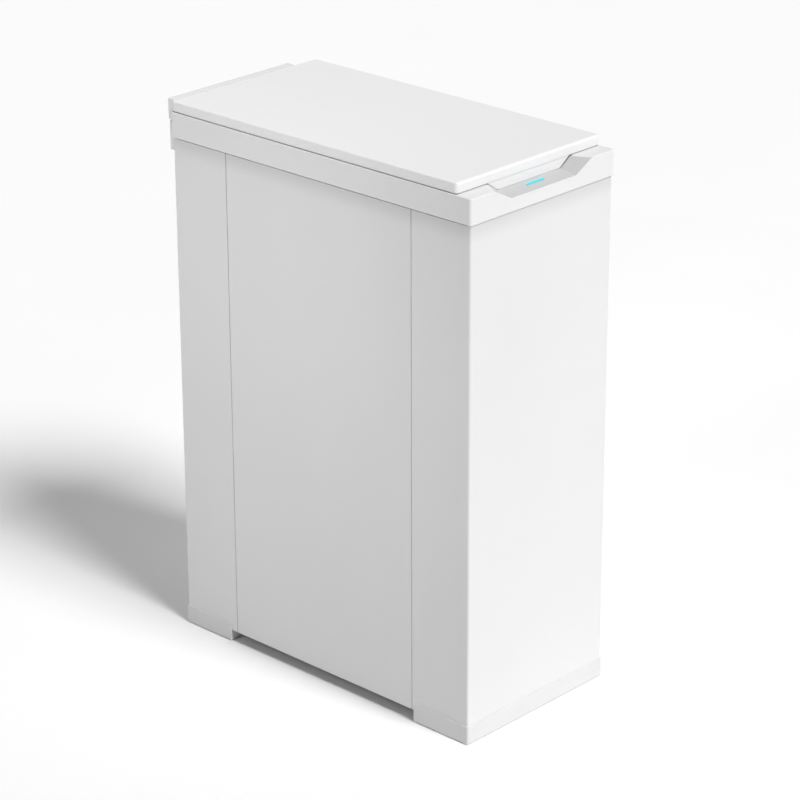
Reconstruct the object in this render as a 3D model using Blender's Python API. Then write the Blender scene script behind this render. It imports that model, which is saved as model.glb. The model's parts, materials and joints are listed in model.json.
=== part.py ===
"""Slim floor-standing trash compactor: a bin in a boxy housing, with a motorised
double-knee press hung under a hinged lid. Metres, +Z up, front towards -Y.

Sizes below are measured from the middle of the housing, with the floor at z = 0.
The last step slides everything by HINGE_OFFSET, which puts the origin under the
middle of the whole length, the hinge at the back included. A cutter that runs right
through a part, or out of it, ends FAR away.
"""
import math

import bmesh
import bpy
from mathutils import Matrix, Vector

NAME = "trash_compactor"
MM = 0.001
GAP = 0.3 * MM
FAR = 1.0

# Housing
HALF_WIDTH = 120.4 * MM
HALF_DEPTH = 237.2 * MM
WALL = 2.5 * MM
CORNER = 2.5 * MM
SKIRT_Z = 15.0 * MM
PLINTH_Z = 24.0 * MM
SHELL_TOP = 640.1 * MM
SEAM_Y = 148.0 * MM
FOOT_PROUD = 0.6 * MM
FOOT_BOTTOM = 1.2 * MM
FOOT_EDGE = 0.8 * MM
FOOT_WALL = 6.0 * MM
FOOT_HOLLOW_HALF = 84.0 * MM
FOOT_HOLLOW_TOP = 20.0 * MM
FRONT_FOOT_END = -152.0 * MM
REAR_FOOT_END = 158.5 * MM
PAD_RADIUS = 10.0 * MM
PAD_HEIGHT = 3.0 * MM
PAD_X = 102.0 * MM
PAN_THICKNESS = 3.0 * MM
SHEET = 2.0 * MM
VENT_ROWS = 8
VENT_BOTTOM = 545.0 * MM
VENT_PITCH = 7.0 * MM
VENT_SLOT = 3.0 * MM
VENT_HALF = 45.0 * MM

# Collar round the mouth
COLLAR_BOTTOM = 640.4 * MM
COLLAR_TOP = 671.3 * MM
COLLAR_HALF_WIDTH = 122.2 * MM
COLLAR_HALF_DEPTH = 238.8 * MM
COLLAR_CORNER = 3.0 * MM
COLLAR_WALL = 3.0 * MM
MOUTH_HALF_WIDTH = 105.0 * MM
MOUTH_FRONT = -204.0 * MM
MOUTH_REAR = 150.0 * MM
MOUTH_CORNER = 4.0 * MM
SMALL_EDGE = 1.5 * MM

# Finger recess in the collar's front, and the lip of the lid above it
RECESS_FLOOR = 656.7 * MM
RECESS_FLOOR_HALF = 52.0 * MM
RECESS_STEP = 660.0 * MM
RECESS_STEP_Y = -217.0 * MM
RECESS_TOP_HALF = 84.5 * MM
RECESS_WALL = 2.0 * MM
LIP_BOTTOM = 660.5 * MM
LIP_BOTTOM_HALF = 50.3 * MM
LIP_TOP_HALF = 71.5 * MM
LIP_THICKNESS = 3.0 * MM
LIP_TO_WALL = 1.6 * MM
LIGHT_LENGTH = 29.6 * MM
LIGHT_WIDTH = 3.0 * MM
LIGHT_Y = -225.5 * MM
LIGHT_CORNER = 1.4 * MM

# Lid
LID_HALF_WIDTH = 121.0 * MM
LID_FRONT = -217.0 * MM
LID_REAR = 237.5 * MM
LID_BOTTOM = 672.9 * MM
LID_TOP = 684.4 * MM
LID_CORNER = 3.0 * MM
LID_WALL = 3.0 * MM
GASKET_HALF_WIDTH = 110.5 * MM
GASKET_FRONT = -206.3 * MM
GASKET_REAR = 155.5 * MM
GASKET_CORNER = 5.0 * MM

# Hinge at the back
HINGE_Y = 243.3 * MM
HINGE_Z = 657.3 * MM
HINGE_LEFT = -117.5 * MM
HINGE_RIGHT = 83.0 * MM
HINGE_REAR = 247.8 * MM
HINGE_TOP = 685.2 * MM
HINGE_CORNER = 1.0 * MM
HINGE_PIN_RADIUS = 1.3 * MM
KNUCKLES = 5
KNUCKLE_RADIUS = 2.6 * MM
KNUCKLE_BORE = 1.7 * MM
WEB_HALF = 1.2 * MM
WEB_NEAR = 1.9 * MM
WEB_FAR = 4.0 * MM
BODY_LEAF_BOTTOM = 622.5 * MM
BODY_LEAF_REAR = 246.0 * MM
LEAF_TO_PIN = 3.0 * MM
LEDGE_SHORT = 1.0 * MM
HINGE_OFFSET = (COLLAR_HALF_DEPTH - HINGE_REAR) / 2

# Bin
BIN_HALF_WIDTH = 98.0 * MM
BIN_FRONT = -200.0 * MM
BIN_REAR = 140.0 * MM
BIN_BOTTOM = 28.0 * MM
BIN_RIM = 590.0 * MM
BIN_CORNER = 20.0 * MM
BIN_FOOT_EDGE = 3.0 * MM
RIM_PROUD = 3.0 * MM
RIM_HEIGHT = 6.0 * MM
RING_HEIGHT = 5.0 * MM
RING_EDGE = 1.0 * MM
HAND_SLOT_HALF = 45.0 * MM
HAND_SLOT_BOTTOM = 550.0 * MM
HAND_SLOT_TOP = 572.0 * MM

# Mains inlet and rocker switch in the rear shell
INLET_X = -55.0 * MM
INLET_Z = 72.0 * MM
INLET_HALF = 17.0 * MM
INLET_TALL = 14.0 * MM
INLET_FRONT = 208.0 * MM
INLET_REAR = 238.2 * MM
SOCKET_HALF = 12.0 * MM
SOCKET_TALL = 8.0 * MM
SOCKET_FRONT = 219.0 * MM
SWITCH_X = -20.0 * MM
SWITCH_HALF = 10.0 * MM
SWITCH_FRONT = 222.0 * MM
SWITCH_Y = 237.7 * MM
SWITCH_TILT = math.radians(7.0)
SEAT_HALF = 6.4 * MM
SEAT_TALL = 10.8 * MM
SEAT_FRONT = 228.0 * MM
ROCKER_HALF = 6.0 * MM
ROCKER_TALL = 10.0 * MM
ROCKER_DEEP = 3.0 * MM

# Electrics and odour filter: lowest and highest corner, or size
SUPPLY_LOW = (-60.0 * MM, 165.0 * MM, 100.0 * MM)
SUPPLY_HIGH = (60.0 * MM, 206.0 * MM, 230.0 * MM)
SUPPLY_EDGE = 1.0 * MM
FILTER_LOW = (-52.0 * MM, 200.0 * MM, 538.0 * MM)
FILTER_HIGH = (52.0 * MM, 230.0 * MM, 606.0 * MM)
FILTER_CORNER = 3.0 * MM
BOARD_HALF = 55.0 * MM
BOARD_BOTTOM = 560.0 * MM
BOARD_TOP = 630.0 * MM
BOARD_THICKNESS = 1.6 * MM
BOARD_STANDOFF = 8.0 * MM

# Lid lock
BOLT_X = 99.5 * MM
BOLT_Z = 653.5 * MM
BOLT_HALF = 2.5 * MM
BOLT_FRONT = -225.0 * MM
BOLT_REAR = -205.5 * MM
SOLENOID_HALF = 8.0 * MM
SOLENOID_TALL = 9.0 * MM
SOLENOID_FRONT = -233.0 * MM
SOLENOID_REAR = -207.5 * MM
SOLENOID_BORE_FRONT = -228.0 * MM
STRIKER_LEFT = 94.0 * MM
STRIKER_RIGHT = 104.0 * MM
STRIKER_FRONT = -200.5 * MM
STRIKER_REAR = -198.5 * MM
STRIKER_BOTTOM = 646.0 * MM
STRIKER_HOLE = 3.0 * MM

# Press: two mirrored arm pairs that fold flat under the lid
PRESS_Y = -30.0 * MM
ARM_LENGTH = 145.0 * MM
ARM_HEIGHT = 14.0 * MM
ARM_THICKNESS = 5.0 * MM
UPPER_ARM_X = 62.0 * MM
LOWER_ARM_X = 54.0 * MM
LUG_X = 46.0 * MM
HEAD_AXIS_Z = 648.0 * MM
REST_ANGLE = math.radians(5.0)
SHAFT_RADIUS = 4.0 * MM
SHAFT_BORE = 4.35 * MM
ARM_TUBE_RADIUS = 4.0 * MM
GEAR_MODULE = 2.0 * MM
ARM_GEAR_TEETH = 15
PINION_TEETH = 10
PRESSURE_ANGLE = math.radians(25.0)
BACKLASH = 0.5 * MM
GEAR_WIDTH = 12.0 * MM
PINION_SHAFT_RADIUS = 3.0 * MM
PINION_SHAFT_LEFT = -9.0 * MM
PINION_SHAFT_RIGHT = 20.0 * MM
PINION_BORE = 3.35 * MM
TOOTH_ADDENDUM = 0.7
TOOTH_DEDENDUM = 1.1
FLANK_POINTS = 4
PLATE_HALF_WIDTH = 88.0 * MM
PLATE_HALF_LENGTH = 159.0 * MM
PLATE_BOTTOM = 600.0 * MM
PLATE_TOP = 608.0 * MM
PLATE_CORNER = 12.0 * MM
PLATE_EDGE = 2.5 * MM
LUG_LONG = 11.0 * MM
LUG_TOP = 630.0 * MM
BRACKET_FLOOR = 3.0 * MM
ARM_TUBE_REACH = 2.0 * MM
SHAFT_HALF = 74.0 * MM
KNEE_PIN_HALF = 69.0 * MM
PLATE_PIN_HALF = 60.5 * MM
HEAD_CEILING = 669.6 * MM
HEAD_TOP = 672.6 * MM
HEAD_BOTTOM = 640.0 * MM
SKIRT_HALF = 84.0 * MM
SKIRT_FRONT = -201.0 * MM
SKIRT_REAR = 141.0 * MM
SKIRT_CORNER = 6.0 * MM
FLANGE_HALF = 103.0 * MM
FLANGE_FRONT = -202.0 * MM
FLANGE_REAR = 147.0 * MM
BEARING_X = 70.0 * MM
BEARING_THICKNESS = 3.0 * MM
BEARING_BOTTOM = 636.0 * MM
BEARING_LONG = 20.0 * MM
GEARBOX_LEFT = 8.0 * MM
GEARBOX_RIGHT = 22.0 * MM
GEARBOX_FRONT = -108.0 * MM
GEARBOX_REAR = -60.0 * MM
MOTOR_RADIUS = 15.5 * MM
MOTOR_RIGHT = 58.0 * MM
MOTOR_Y = -92.0 * MM
MOTOR_Z = 652.5 * MM

# Places that follow from the sizes above
ARM_GEAR_RADIUS = GEAR_MODULE * ARM_GEAR_TEETH / 2
PINION_RADIUS = GEAR_MODULE * PINION_TEETH / 2
FRONT_AXIS_Y = PRESS_Y - ARM_GEAR_RADIUS
REAR_AXIS_Y = PRESS_Y + ARM_GEAR_RADIUS
PINION_Y = FRONT_AXIS_Y - ARM_GEAR_RADIUS - PINION_RADIUS
KNEE_REACH = ARM_LENGTH * math.cos(REST_ANGLE)
KNEE_DROP = ARM_LENGTH * math.sin(REST_ANGLE)
KNEE_Z = HEAD_AXIS_Z - KNEE_DROP
PLATE_AXIS_Z = HEAD_AXIS_Z - 2 * KNEE_DROP

# A flat outline drawn in X and Y, turned to stand in the world's Y-Z or X-Z plane
SIDEWAYS = Matrix(((0, 0, 1), (1, 0, 0), (0, 1, 0))).to_4x4()
UPRIGHT = Matrix.Rotation(math.radians(90), 4, "X")

WHITE = ("white_plastic", (0.80, 0.80, 0.80), 0.45, 0.0)
GREY = ("grey_plastic", (0.42, 0.42, 0.43), 0.50, 0.0)
DARK = ("dark_plastic", (0.03, 0.03, 0.035), 0.55, 0.0)
RUBBER = ("rubber", (0.05, 0.05, 0.05), 0.80, 0.0)
SHEET_STEEL = ("sheet_steel", (0.55, 0.56, 0.58), 0.38, 1.0)
STEEL = ("steel", (0.62, 0.62, 0.64), 0.25, 1.0)
BRASS = ("brass", (0.70, 0.52, 0.25), 0.30, 1.0)
BOARD = ("circuit_board", (0.02, 0.16, 0.06), 0.50, 0.0)
LIGHT = ("light_lens", (0.03, 0.85, 0.93), 0.30, 0.0)
FILTER = ("charcoal", (0.02, 0.02, 0.02), 0.95, 0.0)


def clear_scene():
    for obj in list(bpy.data.objects):
        bpy.data.objects.remove(obj, do_unlink=True)


def new_collection(name):
    collection = bpy.data.collections.new(name)
    bpy.context.scene.collection.children.link(collection)
    return collection


clear_scene()
PARTS = new_collection(NAME)
CUTTERS = new_collection(NAME + "_cutters")
PIVOTS = {}


# ---------------------------------------------------------------- helpers

def get_material(finish):
    name, colour, roughness, metallic = finish
    material = bpy.data.materials.get(name)
    if material is None:
        material = bpy.data.materials.new(name)
        material.use_nodes = True
        shader = material.node_tree.nodes["Principled BSDF"]
        shader.inputs["Base Color"].default_value = (*colour, 1.0)
        shader.inputs["Roughness"].default_value = roughness
        shader.inputs["Metallic"].default_value = metallic
    return material


def shade(obj, degrees=35):
    obj.data.shade_smooth()
    obj.data.set_sharp_from_angle(angle=math.radians(degrees))


def add_object(name, mesh, location):
    obj = bpy.data.objects.new(name, mesh)
    obj.location = location
    CUTTERS.objects.link(obj)
    obj.hide_render = True
    obj.display_type = "WIRE"
    return obj


def pivot(name, location, parent=None):
    """An empty on a joint's axis; what hangs on it moves with that joint."""
    empty = bpy.data.objects.new(name, None)
    empty.empty_display_size = 0.02
    empty.location = location
    if parent:
        empty.parent = parent
        empty.location = Vector(location) - PIVOTS[parent.name]
    PIVOTS[name] = Vector(location)
    PARTS.objects.link(empty)
    return empty


def keep(obj, finish, parent=None):
    """Turn a raw shape into a named part with a material."""
    CUTTERS.objects.unlink(obj)
    PARTS.objects.link(obj)
    obj.hide_render = False
    obj.display_type = "TEXTURED"
    obj.data.materials.append(get_material(finish))
    if parent:
        obj.parent = parent
        obj.location = obj.location - PIVOTS[parent.name]
    return obj


def block(name, low, high, corner=0.0, edge=0.0, foot_edge=0.0):
    """A box, with round upright corners, a round top edge and a round bottom edge."""
    low = Vector(low)
    high = Vector(high)
    size = high - low
    bm = bmesh.new()
    bmesh.ops.create_cube(bm, size=1.0)
    bmesh.ops.scale(bm, vec=size, verts=bm.verts)
    if corner:
        uprights = [e for e in bm.edges if abs(e.verts[0].co.z - e.verts[1].co.z) > size.z / 2]
        bmesh.ops.bevel(bm, geom=uprights, offset=corner, segments=5, profile=0.5, affect="EDGES")
    for side, width in ((1, edge), (-1, foot_edge)):
        if width:
            level = side * size.z / 2
            rim = [e for e in bm.edges if all(abs(v.co.z - level) < 1e-7 for v in e.verts)]
            bmesh.ops.bevel(bm, geom=rim, offset=width, segments=3, profile=0.5, affect="EDGES")
    mesh = bpy.data.meshes.new(name)
    bm.to_mesh(mesh)
    bm.free()
    obj = add_object(name, mesh, (low + high) / 2)
    shade(obj)
    return obj


def rod(name, start, end, radius, segments=24):
    """A cylinder between two points."""
    start = Vector(start)
    end = Vector(end)
    run = end - start
    bm = bmesh.new()
    bmesh.ops.create_cone(bm, cap_ends=True, segments=segments, radius1=radius, radius2=radius,
                          depth=run.length, matrix=run.to_track_quat("Z", "Y").to_matrix().to_4x4())
    mesh = bpy.data.meshes.new(name)
    bm.to_mesh(mesh)
    bm.free()
    obj = add_object(name, mesh, (start + end) / 2)
    shade(obj)
    return obj


def flat_plate(name, outline, holes, thickness, turn, location):
    """A plate cut from a flat outline with round holes (x, y, radius), stood up by turn."""
    curve = bpy.data.curves.new(name, "CURVE")
    curve.dimensions = "2D"
    curve.fill_mode = "BOTH"
    curve.extrude = thickness / 2
    loops = [outline] + [circle(x, y, radius) for x, y, radius in holes]
    for loop in loops:
        spline = curve.splines.new("POLY")
        spline.points.add(len(loop) - 1)
        for point, (x, y) in zip(spline.points, loop):
            point.co = (x, y, 0.0, 1.0)
        spline.use_cyclic_u = True
    drawing = bpy.data.objects.new(name + "_outline", curve)
    CUTTERS.objects.link(drawing)
    bpy.context.view_layer.update()
    evaluated = drawing.evaluated_get(bpy.context.evaluated_depsgraph_get())
    mesh = bpy.data.meshes.new_from_object(evaluated)
    bpy.data.objects.remove(drawing, do_unlink=True)
    bm = bmesh.new()
    bm.from_mesh(mesh)
    bmesh.ops.remove_doubles(bm, verts=bm.verts, dist=1e-6)
    bmesh.ops.transform(bm, matrix=turn, verts=bm.verts)
    bmesh.ops.recalc_face_normals(bm, faces=bm.faces)
    bm.to_mesh(mesh)
    bm.free()
    mesh.name = name
    obj = add_object(name, mesh, location)
    shade(obj)
    return obj


def circle(x, y, radius, count=24):
    turns = [2 * math.pi * k / count for k in range(count)]
    return [(x + radius * math.cos(t), y + radius * math.sin(t)) for t in turns]


def change(target, tool, operation):
    modifier = target.modifiers.new(operation.lower(), "BOOLEAN")
    modifier.object = tool
    modifier.operation = operation
    modifier.solver = "EXACT"


def cut(target, *tools):
    for tool in tools:
        change(target, tool, "DIFFERENCE")
    return target


def join(target, *tools):
    for tool in tools:
        change(target, tool, "UNION")
    return target


def trapezoid(bottom_half, top_half, bottom, top):
    return [(-bottom_half, bottom), (bottom_half, bottom), (top_half, top), (-top_half, top)]


def recess_half(height):
    """Half-width of the finger recess at a height."""
    slope = (RECESS_TOP_HALF - RECESS_FLOOR_HALF) / (COLLAR_TOP - RECESS_FLOOR)
    return RECESS_FLOOR_HALF + slope * (height - RECESS_FLOOR)


def recess_prism(name, margin, bottom, top, front, rear):
    """A prism with the recess's slopes, widened sideways by a margin."""
    outline = trapezoid(recess_half(bottom) + margin, recess_half(top) + margin, bottom, top)
    middle = (front + rear) / 2
    return flat_plate(name, outline, [], rear - front, UPRIGHT, (0, middle, 0))


# ---------------------------------------------------------------- housing

def make_end_shell(name, end):
    """U-shaped skin round the front (end = -1) or the back (end = 1)."""
    skin = block(name, (-HALF_WIDTH, -HALF_DEPTH, SKIRT_Z), (HALF_WIDTH, HALF_DEPTH, SHELL_TOP), CORNER)
    inside = block(name + "_inside", (-HALF_WIDTH + WALL, -HALF_DEPTH + WALL, 0),
                   (HALF_WIDTH - WALL, HALF_DEPTH - WALL, FAR), CORNER - WALL)
    rest_y = sorted((end * (SEAM_Y + GAP), -end * FAR))
    rest = block(name + "_rest", (-FAR, rest_y[0], 0), (FAR, rest_y[1], FAR))
    foot_end = abs(FRONT_FOOT_END if end < 0 else REAR_FOOT_END) - GAP
    foot_y = sorted((end * foot_end, end * FAR))
    foot = block(name + "_foot_space", (-FAR, foot_y[0], 0), (FAR, foot_y[1], PLINTH_Z + GAP))
    cut(skin, inside, rest, foot)
    return skin


def make_front_shell():
    keep(make_end_shell("front_shell", -1), WHITE)


def make_rear_shell():
    shell = make_end_shell("rear_shell", 1)
    inlet = block("inlet_window", (INLET_X - INLET_HALF - GAP, INLET_FRONT, INLET_Z - INLET_TALL - GAP),
                  (INLET_X + INLET_HALF + GAP, FAR, INLET_Z + INLET_TALL + GAP))
    switch = block("switch_window", (SWITCH_X - SWITCH_HALF - GAP, INLET_FRONT, INLET_Z - INLET_TALL - GAP),
                   (SWITCH_X + SWITCH_HALF + GAP, FAR, INLET_Z + INLET_TALL + GAP))
    cut(shell, inlet, switch)
    for row in range(VENT_ROWS):
        height = VENT_BOTTOM + row * VENT_PITCH
        slot = block(f"vent_slot_{row}", (-VENT_HALF, 0, height), (VENT_HALF, FAR, height + VENT_SLOT))
        cut(shell, slot)
    keep(shell, WHITE)


def make_side_panels():
    for name, side in (("left_side_panel", -1), ("right_side_panel", 1)):
        across = sorted((side * HALF_WIDTH, side * (HALF_WIDTH - WALL)))
        panel = block(name, (across[0], -SEAM_Y, SKIRT_Z), (across[1], SEAM_Y, SHELL_TOP))
        keep(panel, WHITE)


def make_foot(name, end, foot_end):
    """Plinth foot with a hollow underside and a recess for each rubber pad."""
    half = HALF_WIDTH + FOOT_PROUD
    outer = HALF_DEPTH + FOOT_PROUD
    foot = block(name, (-half, -outer, FOOT_BOTTOM), (half, outer, PLINTH_Z), CORNER, FOOT_EDGE)
    rest_y = sorted((foot_end, -end * FAR))
    rest = block(name + "_rest", (-FAR, rest_y[0], 0), (FAR, rest_y[1], FAR))
    hollow_y = sorted((foot_end + end * FOOT_WALL, end * (outer - FOOT_WALL)))
    hollow = block(name + "_hollow", (-FOOT_HOLLOW_HALF, hollow_y[0], 0),
                   (FOOT_HOLLOW_HALF, hollow_y[1], FOOT_HOLLOW_TOP))
    cut(foot, rest, hollow)
    pad_y = (foot_end + end * outer) / 2
    for side_name, side in (("left", -1), ("right", 1)):
        place = (side * PAD_X, pad_y)
        seat = rod(f"{name}_{side_name}_seat", (*place, 0), (*place, PAD_HEIGHT + GAP), PAD_RADIUS + GAP)
        cut(foot, seat)
        pad_name = name.replace("foot", side_name) + "_foot_pad"
        keep(rod(pad_name, (*place, 0), (*place, PAD_HEIGHT), PAD_RADIUS), RUBBER)
    keep(foot, WHITE)


def make_base_pan():
    half = HALF_WIDTH - WALL - GAP
    deep = HALF_DEPTH - WALL - GAP
    low = PLINTH_Z + GAP
    pan = block("base_pan", (-half, -deep, low), (half, deep, low + PAN_THICKNESS), CORNER - WALL)
    keep(pan, SHEET_STEEL)


def make_inner_frame():
    """Four upright sheets round the bin; the rear one walls off the power supply."""
    low = PLINTH_Z + PAN_THICKNESS + 2 * GAP
    front = MOUTH_FRONT - SHEET
    rear = MOUTH_REAR + SHEET
    for name, side in (("left_frame_panel", -1), ("right_frame_panel", 1)):
        across = sorted((side * MOUTH_HALF_WIDTH, side * (MOUTH_HALF_WIDTH + SHEET)))
        panel = block(name, (across[0], front, low), (across[1], rear, SHELL_TOP))
        keep(panel, SHEET_STEEL)
    inner = MOUTH_HALF_WIDTH - GAP
    for name, low_y in (("front_frame_panel", front), ("rear_bulkhead", MOUTH_REAR)):
        panel = block(name, (-inner, low_y, low), (inner, low_y + SHEET, SHELL_TOP))
        keep(panel, SHEET_STEEL)


def make_collar():
    """Moulded collar: outer skirt, top plate, and a wall round the mouth."""
    collar = block("collar", (-COLLAR_HALF_WIDTH, -COLLAR_HALF_DEPTH, COLLAR_BOTTOM),
                   (COLLAR_HALF_WIDTH, COLLAR_HALF_DEPTH, COLLAR_TOP), COLLAR_CORNER, SMALL_EDGE)
    mouth = block("collar_mouth", (-MOUTH_HALF_WIDTH, MOUTH_FRONT, 0),
                  (MOUTH_HALF_WIDTH, MOUTH_REAR, FAR), MOUTH_CORNER)
    hollow = block("collar_hollow",
                   (-COLLAR_HALF_WIDTH + COLLAR_WALL, -COLLAR_HALF_DEPTH + COLLAR_WALL, SHELL_TOP - WALL),
                   (COLLAR_HALF_WIDTH - COLLAR_WALL, COLLAR_HALF_DEPTH - COLLAR_WALL,
                    COLLAR_TOP - COLLAR_WALL), COLLAR_CORNER - COLLAR_WALL)
    core = block("collar_core", (-MOUTH_HALF_WIDTH - WALL, MOUTH_FRONT - WALL, 0),
                 (MOUTH_HALF_WIDTH + WALL, MOUTH_REAR + WALL, FAR))
    cut(hollow, core)
    front = -COLLAR_HALF_DEPTH + COLLAR_WALL
    notch = recess_prism("collar_notch", 0.0, RECESS_FLOOR, COLLAR_TOP + WALL, -FAR, front + GAP)
    well = recess_prism("collar_well", RECESS_WALL + 2 * GAP, COLLAR_TOP - 2 * COLLAR_WALL,
                        COLLAR_TOP + WALL, front, MOUTH_FRONT - WALL)
    bolt_hole = block("bolt_hole", (BOLT_X - BOLT_HALF - GAP, SOLENOID_REAR, BOLT_Z - BOLT_HALF - GAP),
                      (BOLT_X + BOLT_HALF + GAP, MOUTH_FRONT + GAP, BOLT_Z + BOLT_HALF + GAP))
    cut(collar, mouth, hollow, notch, well, bolt_hole)
    keep(collar, WHITE)


def make_grip_pocket():
    """Trough behind the collar's notch, with a light: its floor rises towards the lip, then is level."""
    front = -COLLAR_HALF_DEPTH + COLLAR_WALL + GAP
    rear = MOUTH_FRONT - WALL - GAP
    pocket = recess_prism("grip_pocket", RECESS_WALL, RECESS_FLOOR - RECESS_WALL, COLLAR_TOP, front, rear)
    back_wall = LID_FRONT + LIP_THICKNESS + LIP_TO_WALL
    trough = recess_prism("grip_trough", 0.0, RECESS_FLOOR, COLLAR_TOP + WALL, -FAR, back_wall)
    below = RECESS_FLOOR - WALL
    ramp_top = [(front, RECESS_FLOOR), (RECESS_STEP_Y, RECESS_STEP), (0, RECESS_STEP)]
    ramp_side = ramp_top + [(0, below), (front, below)]
    ramp = flat_plate("grip_ramp", ramp_side, [], 2 * COLLAR_HALF_WIDTH, SIDEWAYS, (0, 0, 0))
    cut(trough, ramp)
    cut(pocket, trough)
    keep(pocket, WHITE)
    half = LIGHT_LENGTH / 2
    rise = (RECESS_STEP - RECESS_FLOOR) / (RECESS_STEP_Y - front)
    floor = RECESS_FLOOR + rise * (LIGHT_Y - front)
    light = block("status_light", (-half, LIGHT_Y - LIGHT_WIDTH / 2, floor + GAP),
                  (half, LIGHT_Y + LIGHT_WIDTH / 2, floor + 3 * GAP), LIGHT_CORNER)
    light.rotation_euler.x = math.atan(rise)
    keep(light, LIGHT)


# ---------------------------------------------------------------- inside the housing

def make_bin():
    """Lift-out bin, open at the top, with a rim and two hand slots."""
    low = (-BIN_HALF_WIDTH, BIN_FRONT, BIN_BOTTOM)
    high = (BIN_HALF_WIDTH, BIN_REAR, BIN_RIM)
    bin_body = block("bin", low, high, BIN_CORNER, 0.0, BIN_FOOT_EDGE)
    rim = block("bin_rim", (-BIN_HALF_WIDTH - RIM_PROUD, BIN_FRONT - RIM_PROUD, BIN_RIM - RIM_HEIGHT),
                (BIN_HALF_WIDTH + RIM_PROUD, BIN_REAR + RIM_PROUD, BIN_RIM), BIN_CORNER + RIM_PROUD)
    inside = block("bin_inside", (-BIN_HALF_WIDTH + WALL, BIN_FRONT + WALL, BIN_BOTTOM + WALL),
                   (BIN_HALF_WIDTH - WALL, BIN_REAR - WALL, FAR), BIN_CORNER - WALL)
    slots = block("hand_slots", (-FAR, PRESS_Y - HAND_SLOT_HALF, HAND_SLOT_BOTTOM),
                  (FAR, PRESS_Y + HAND_SLOT_HALF, HAND_SLOT_TOP))
    join(bin_body, rim)
    cut(bin_body, inside, slots)
    keep(bin_body, GREY)


def make_bag_ring():
    """Frame that clamps the bag's edge on the rim of the bin."""
    low = BIN_RIM + GAP
    ring = block("bag_ring", (-BIN_HALF_WIDTH - RIM_PROUD, BIN_FRONT - RIM_PROUD, low),
                 (BIN_HALF_WIDTH + RIM_PROUD, BIN_REAR + RIM_PROUD, low + RING_HEIGHT),
                 BIN_CORNER + RIM_PROUD, RING_EDGE)
    hole = block("bag_ring_hole", (-BIN_HALF_WIDTH + WALL, BIN_FRONT + WALL, 0),
                 (BIN_HALF_WIDTH - WALL, BIN_REAR - WALL, FAR), BIN_CORNER - WALL)
    cut(ring, hole)
    keep(ring, WHITE)


def make_power_inlet():
    inlet = block("power_inlet", (INLET_X - INLET_HALF, INLET_FRONT, INLET_Z - INLET_TALL),
                  (INLET_X + INLET_HALF, INLET_REAR, INLET_Z + INLET_TALL))
    socket = block("inlet_socket", (INLET_X - SOCKET_HALF, SOCKET_FRONT, INLET_Z - SOCKET_TALL),
                   (INLET_X + SOCKET_HALF, FAR, INLET_Z + SOCKET_TALL))
    cut(inlet, socket)
    keep(inlet, DARK)


def make_power_switch():
    """Rocker in a frame; it rests tilted to its off side."""
    frame = block("switch_frame", (SWITCH_X - SWITCH_HALF, SWITCH_FRONT, INLET_Z - INLET_TALL),
                  (SWITCH_X + SWITCH_HALF, INLET_REAR, INLET_Z + INLET_TALL))
    seat = block("switch_seat", (SWITCH_X - SEAT_HALF, SEAT_FRONT, INLET_Z - SEAT_TALL),
                 (SWITCH_X + SEAT_HALF, FAR, INLET_Z + SEAT_TALL))
    cut(frame, seat)
    keep(frame, DARK)
    axis = pivot("power_switch_axis", (SWITCH_X, SWITCH_Y, INLET_Z))
    rocker = block("power_switch",
                   (SWITCH_X - ROCKER_HALF, SWITCH_Y - ROCKER_DEEP, INLET_Z - ROCKER_TALL),
                   (SWITCH_X + ROCKER_HALF, SWITCH_Y + ROCKER_DEEP, INLET_Z + ROCKER_TALL))
    rocker.rotation_euler.x = -SWITCH_TILT
    keep(rocker, DARK, axis)


def make_electrics():
    keep(block("power_supply", SUPPLY_LOW, SUPPLY_HIGH, 0, SUPPLY_EDGE), SHEET_STEEL)
    keep(block("charcoal_filter", FILTER_LOW, FILTER_HIGH, FILTER_CORNER), FILTER)
    rear = MOUTH_FRONT - SHEET - BOARD_STANDOFF
    board = block("control_board", (-BOARD_HALF, rear - BOARD_THICKNESS, BOARD_BOTTOM),
                  (BOARD_HALF, rear, BOARD_TOP))
    keep(board, BOARD)


def make_lid_lock():
    """Solenoid in the collar whose bolt holds the lid's striker while the press runs."""
    solenoid = block("lock_solenoid", (BOLT_X - SOLENOID_HALF, SOLENOID_FRONT, BOLT_Z - SOLENOID_TALL),
                     (BOLT_X + SOLENOID_HALF, SOLENOID_REAR, BOLT_Z + SOLENOID_TALL))
    bore = block("solenoid_bore", (BOLT_X - BOLT_HALF - GAP, SOLENOID_BORE_FRONT, BOLT_Z - BOLT_HALF - GAP),
                 (BOLT_X + BOLT_HALF + GAP, FAR, BOLT_Z + BOLT_HALF + GAP))
    cut(solenoid, bore)
    keep(solenoid, SHEET_STEEL)
    axis = pivot("lock_bolt_axis", (BOLT_X, BOLT_REAR, BOLT_Z))
    bolt = block("lock_bolt", (BOLT_X - BOLT_HALF, BOLT_FRONT, BOLT_Z - BOLT_HALF),
                 (BOLT_X + BOLT_HALF, BOLT_REAR, BOLT_Z + BOLT_HALF))
    keep(bolt, STEEL, axis)


# ---------------------------------------------------------------- hinge

def knuckle_spans():
    """Knuckles along the pin; the first and every second one belong to the housing."""
    pitch = (HINGE_RIGHT - HINGE_LEFT) / KNUCKLES
    return [(HINGE_LEFT + k * pitch + GAP, HINGE_LEFT + (k + 1) * pitch - GAP) for k in range(KNUCKLES)]


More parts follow.
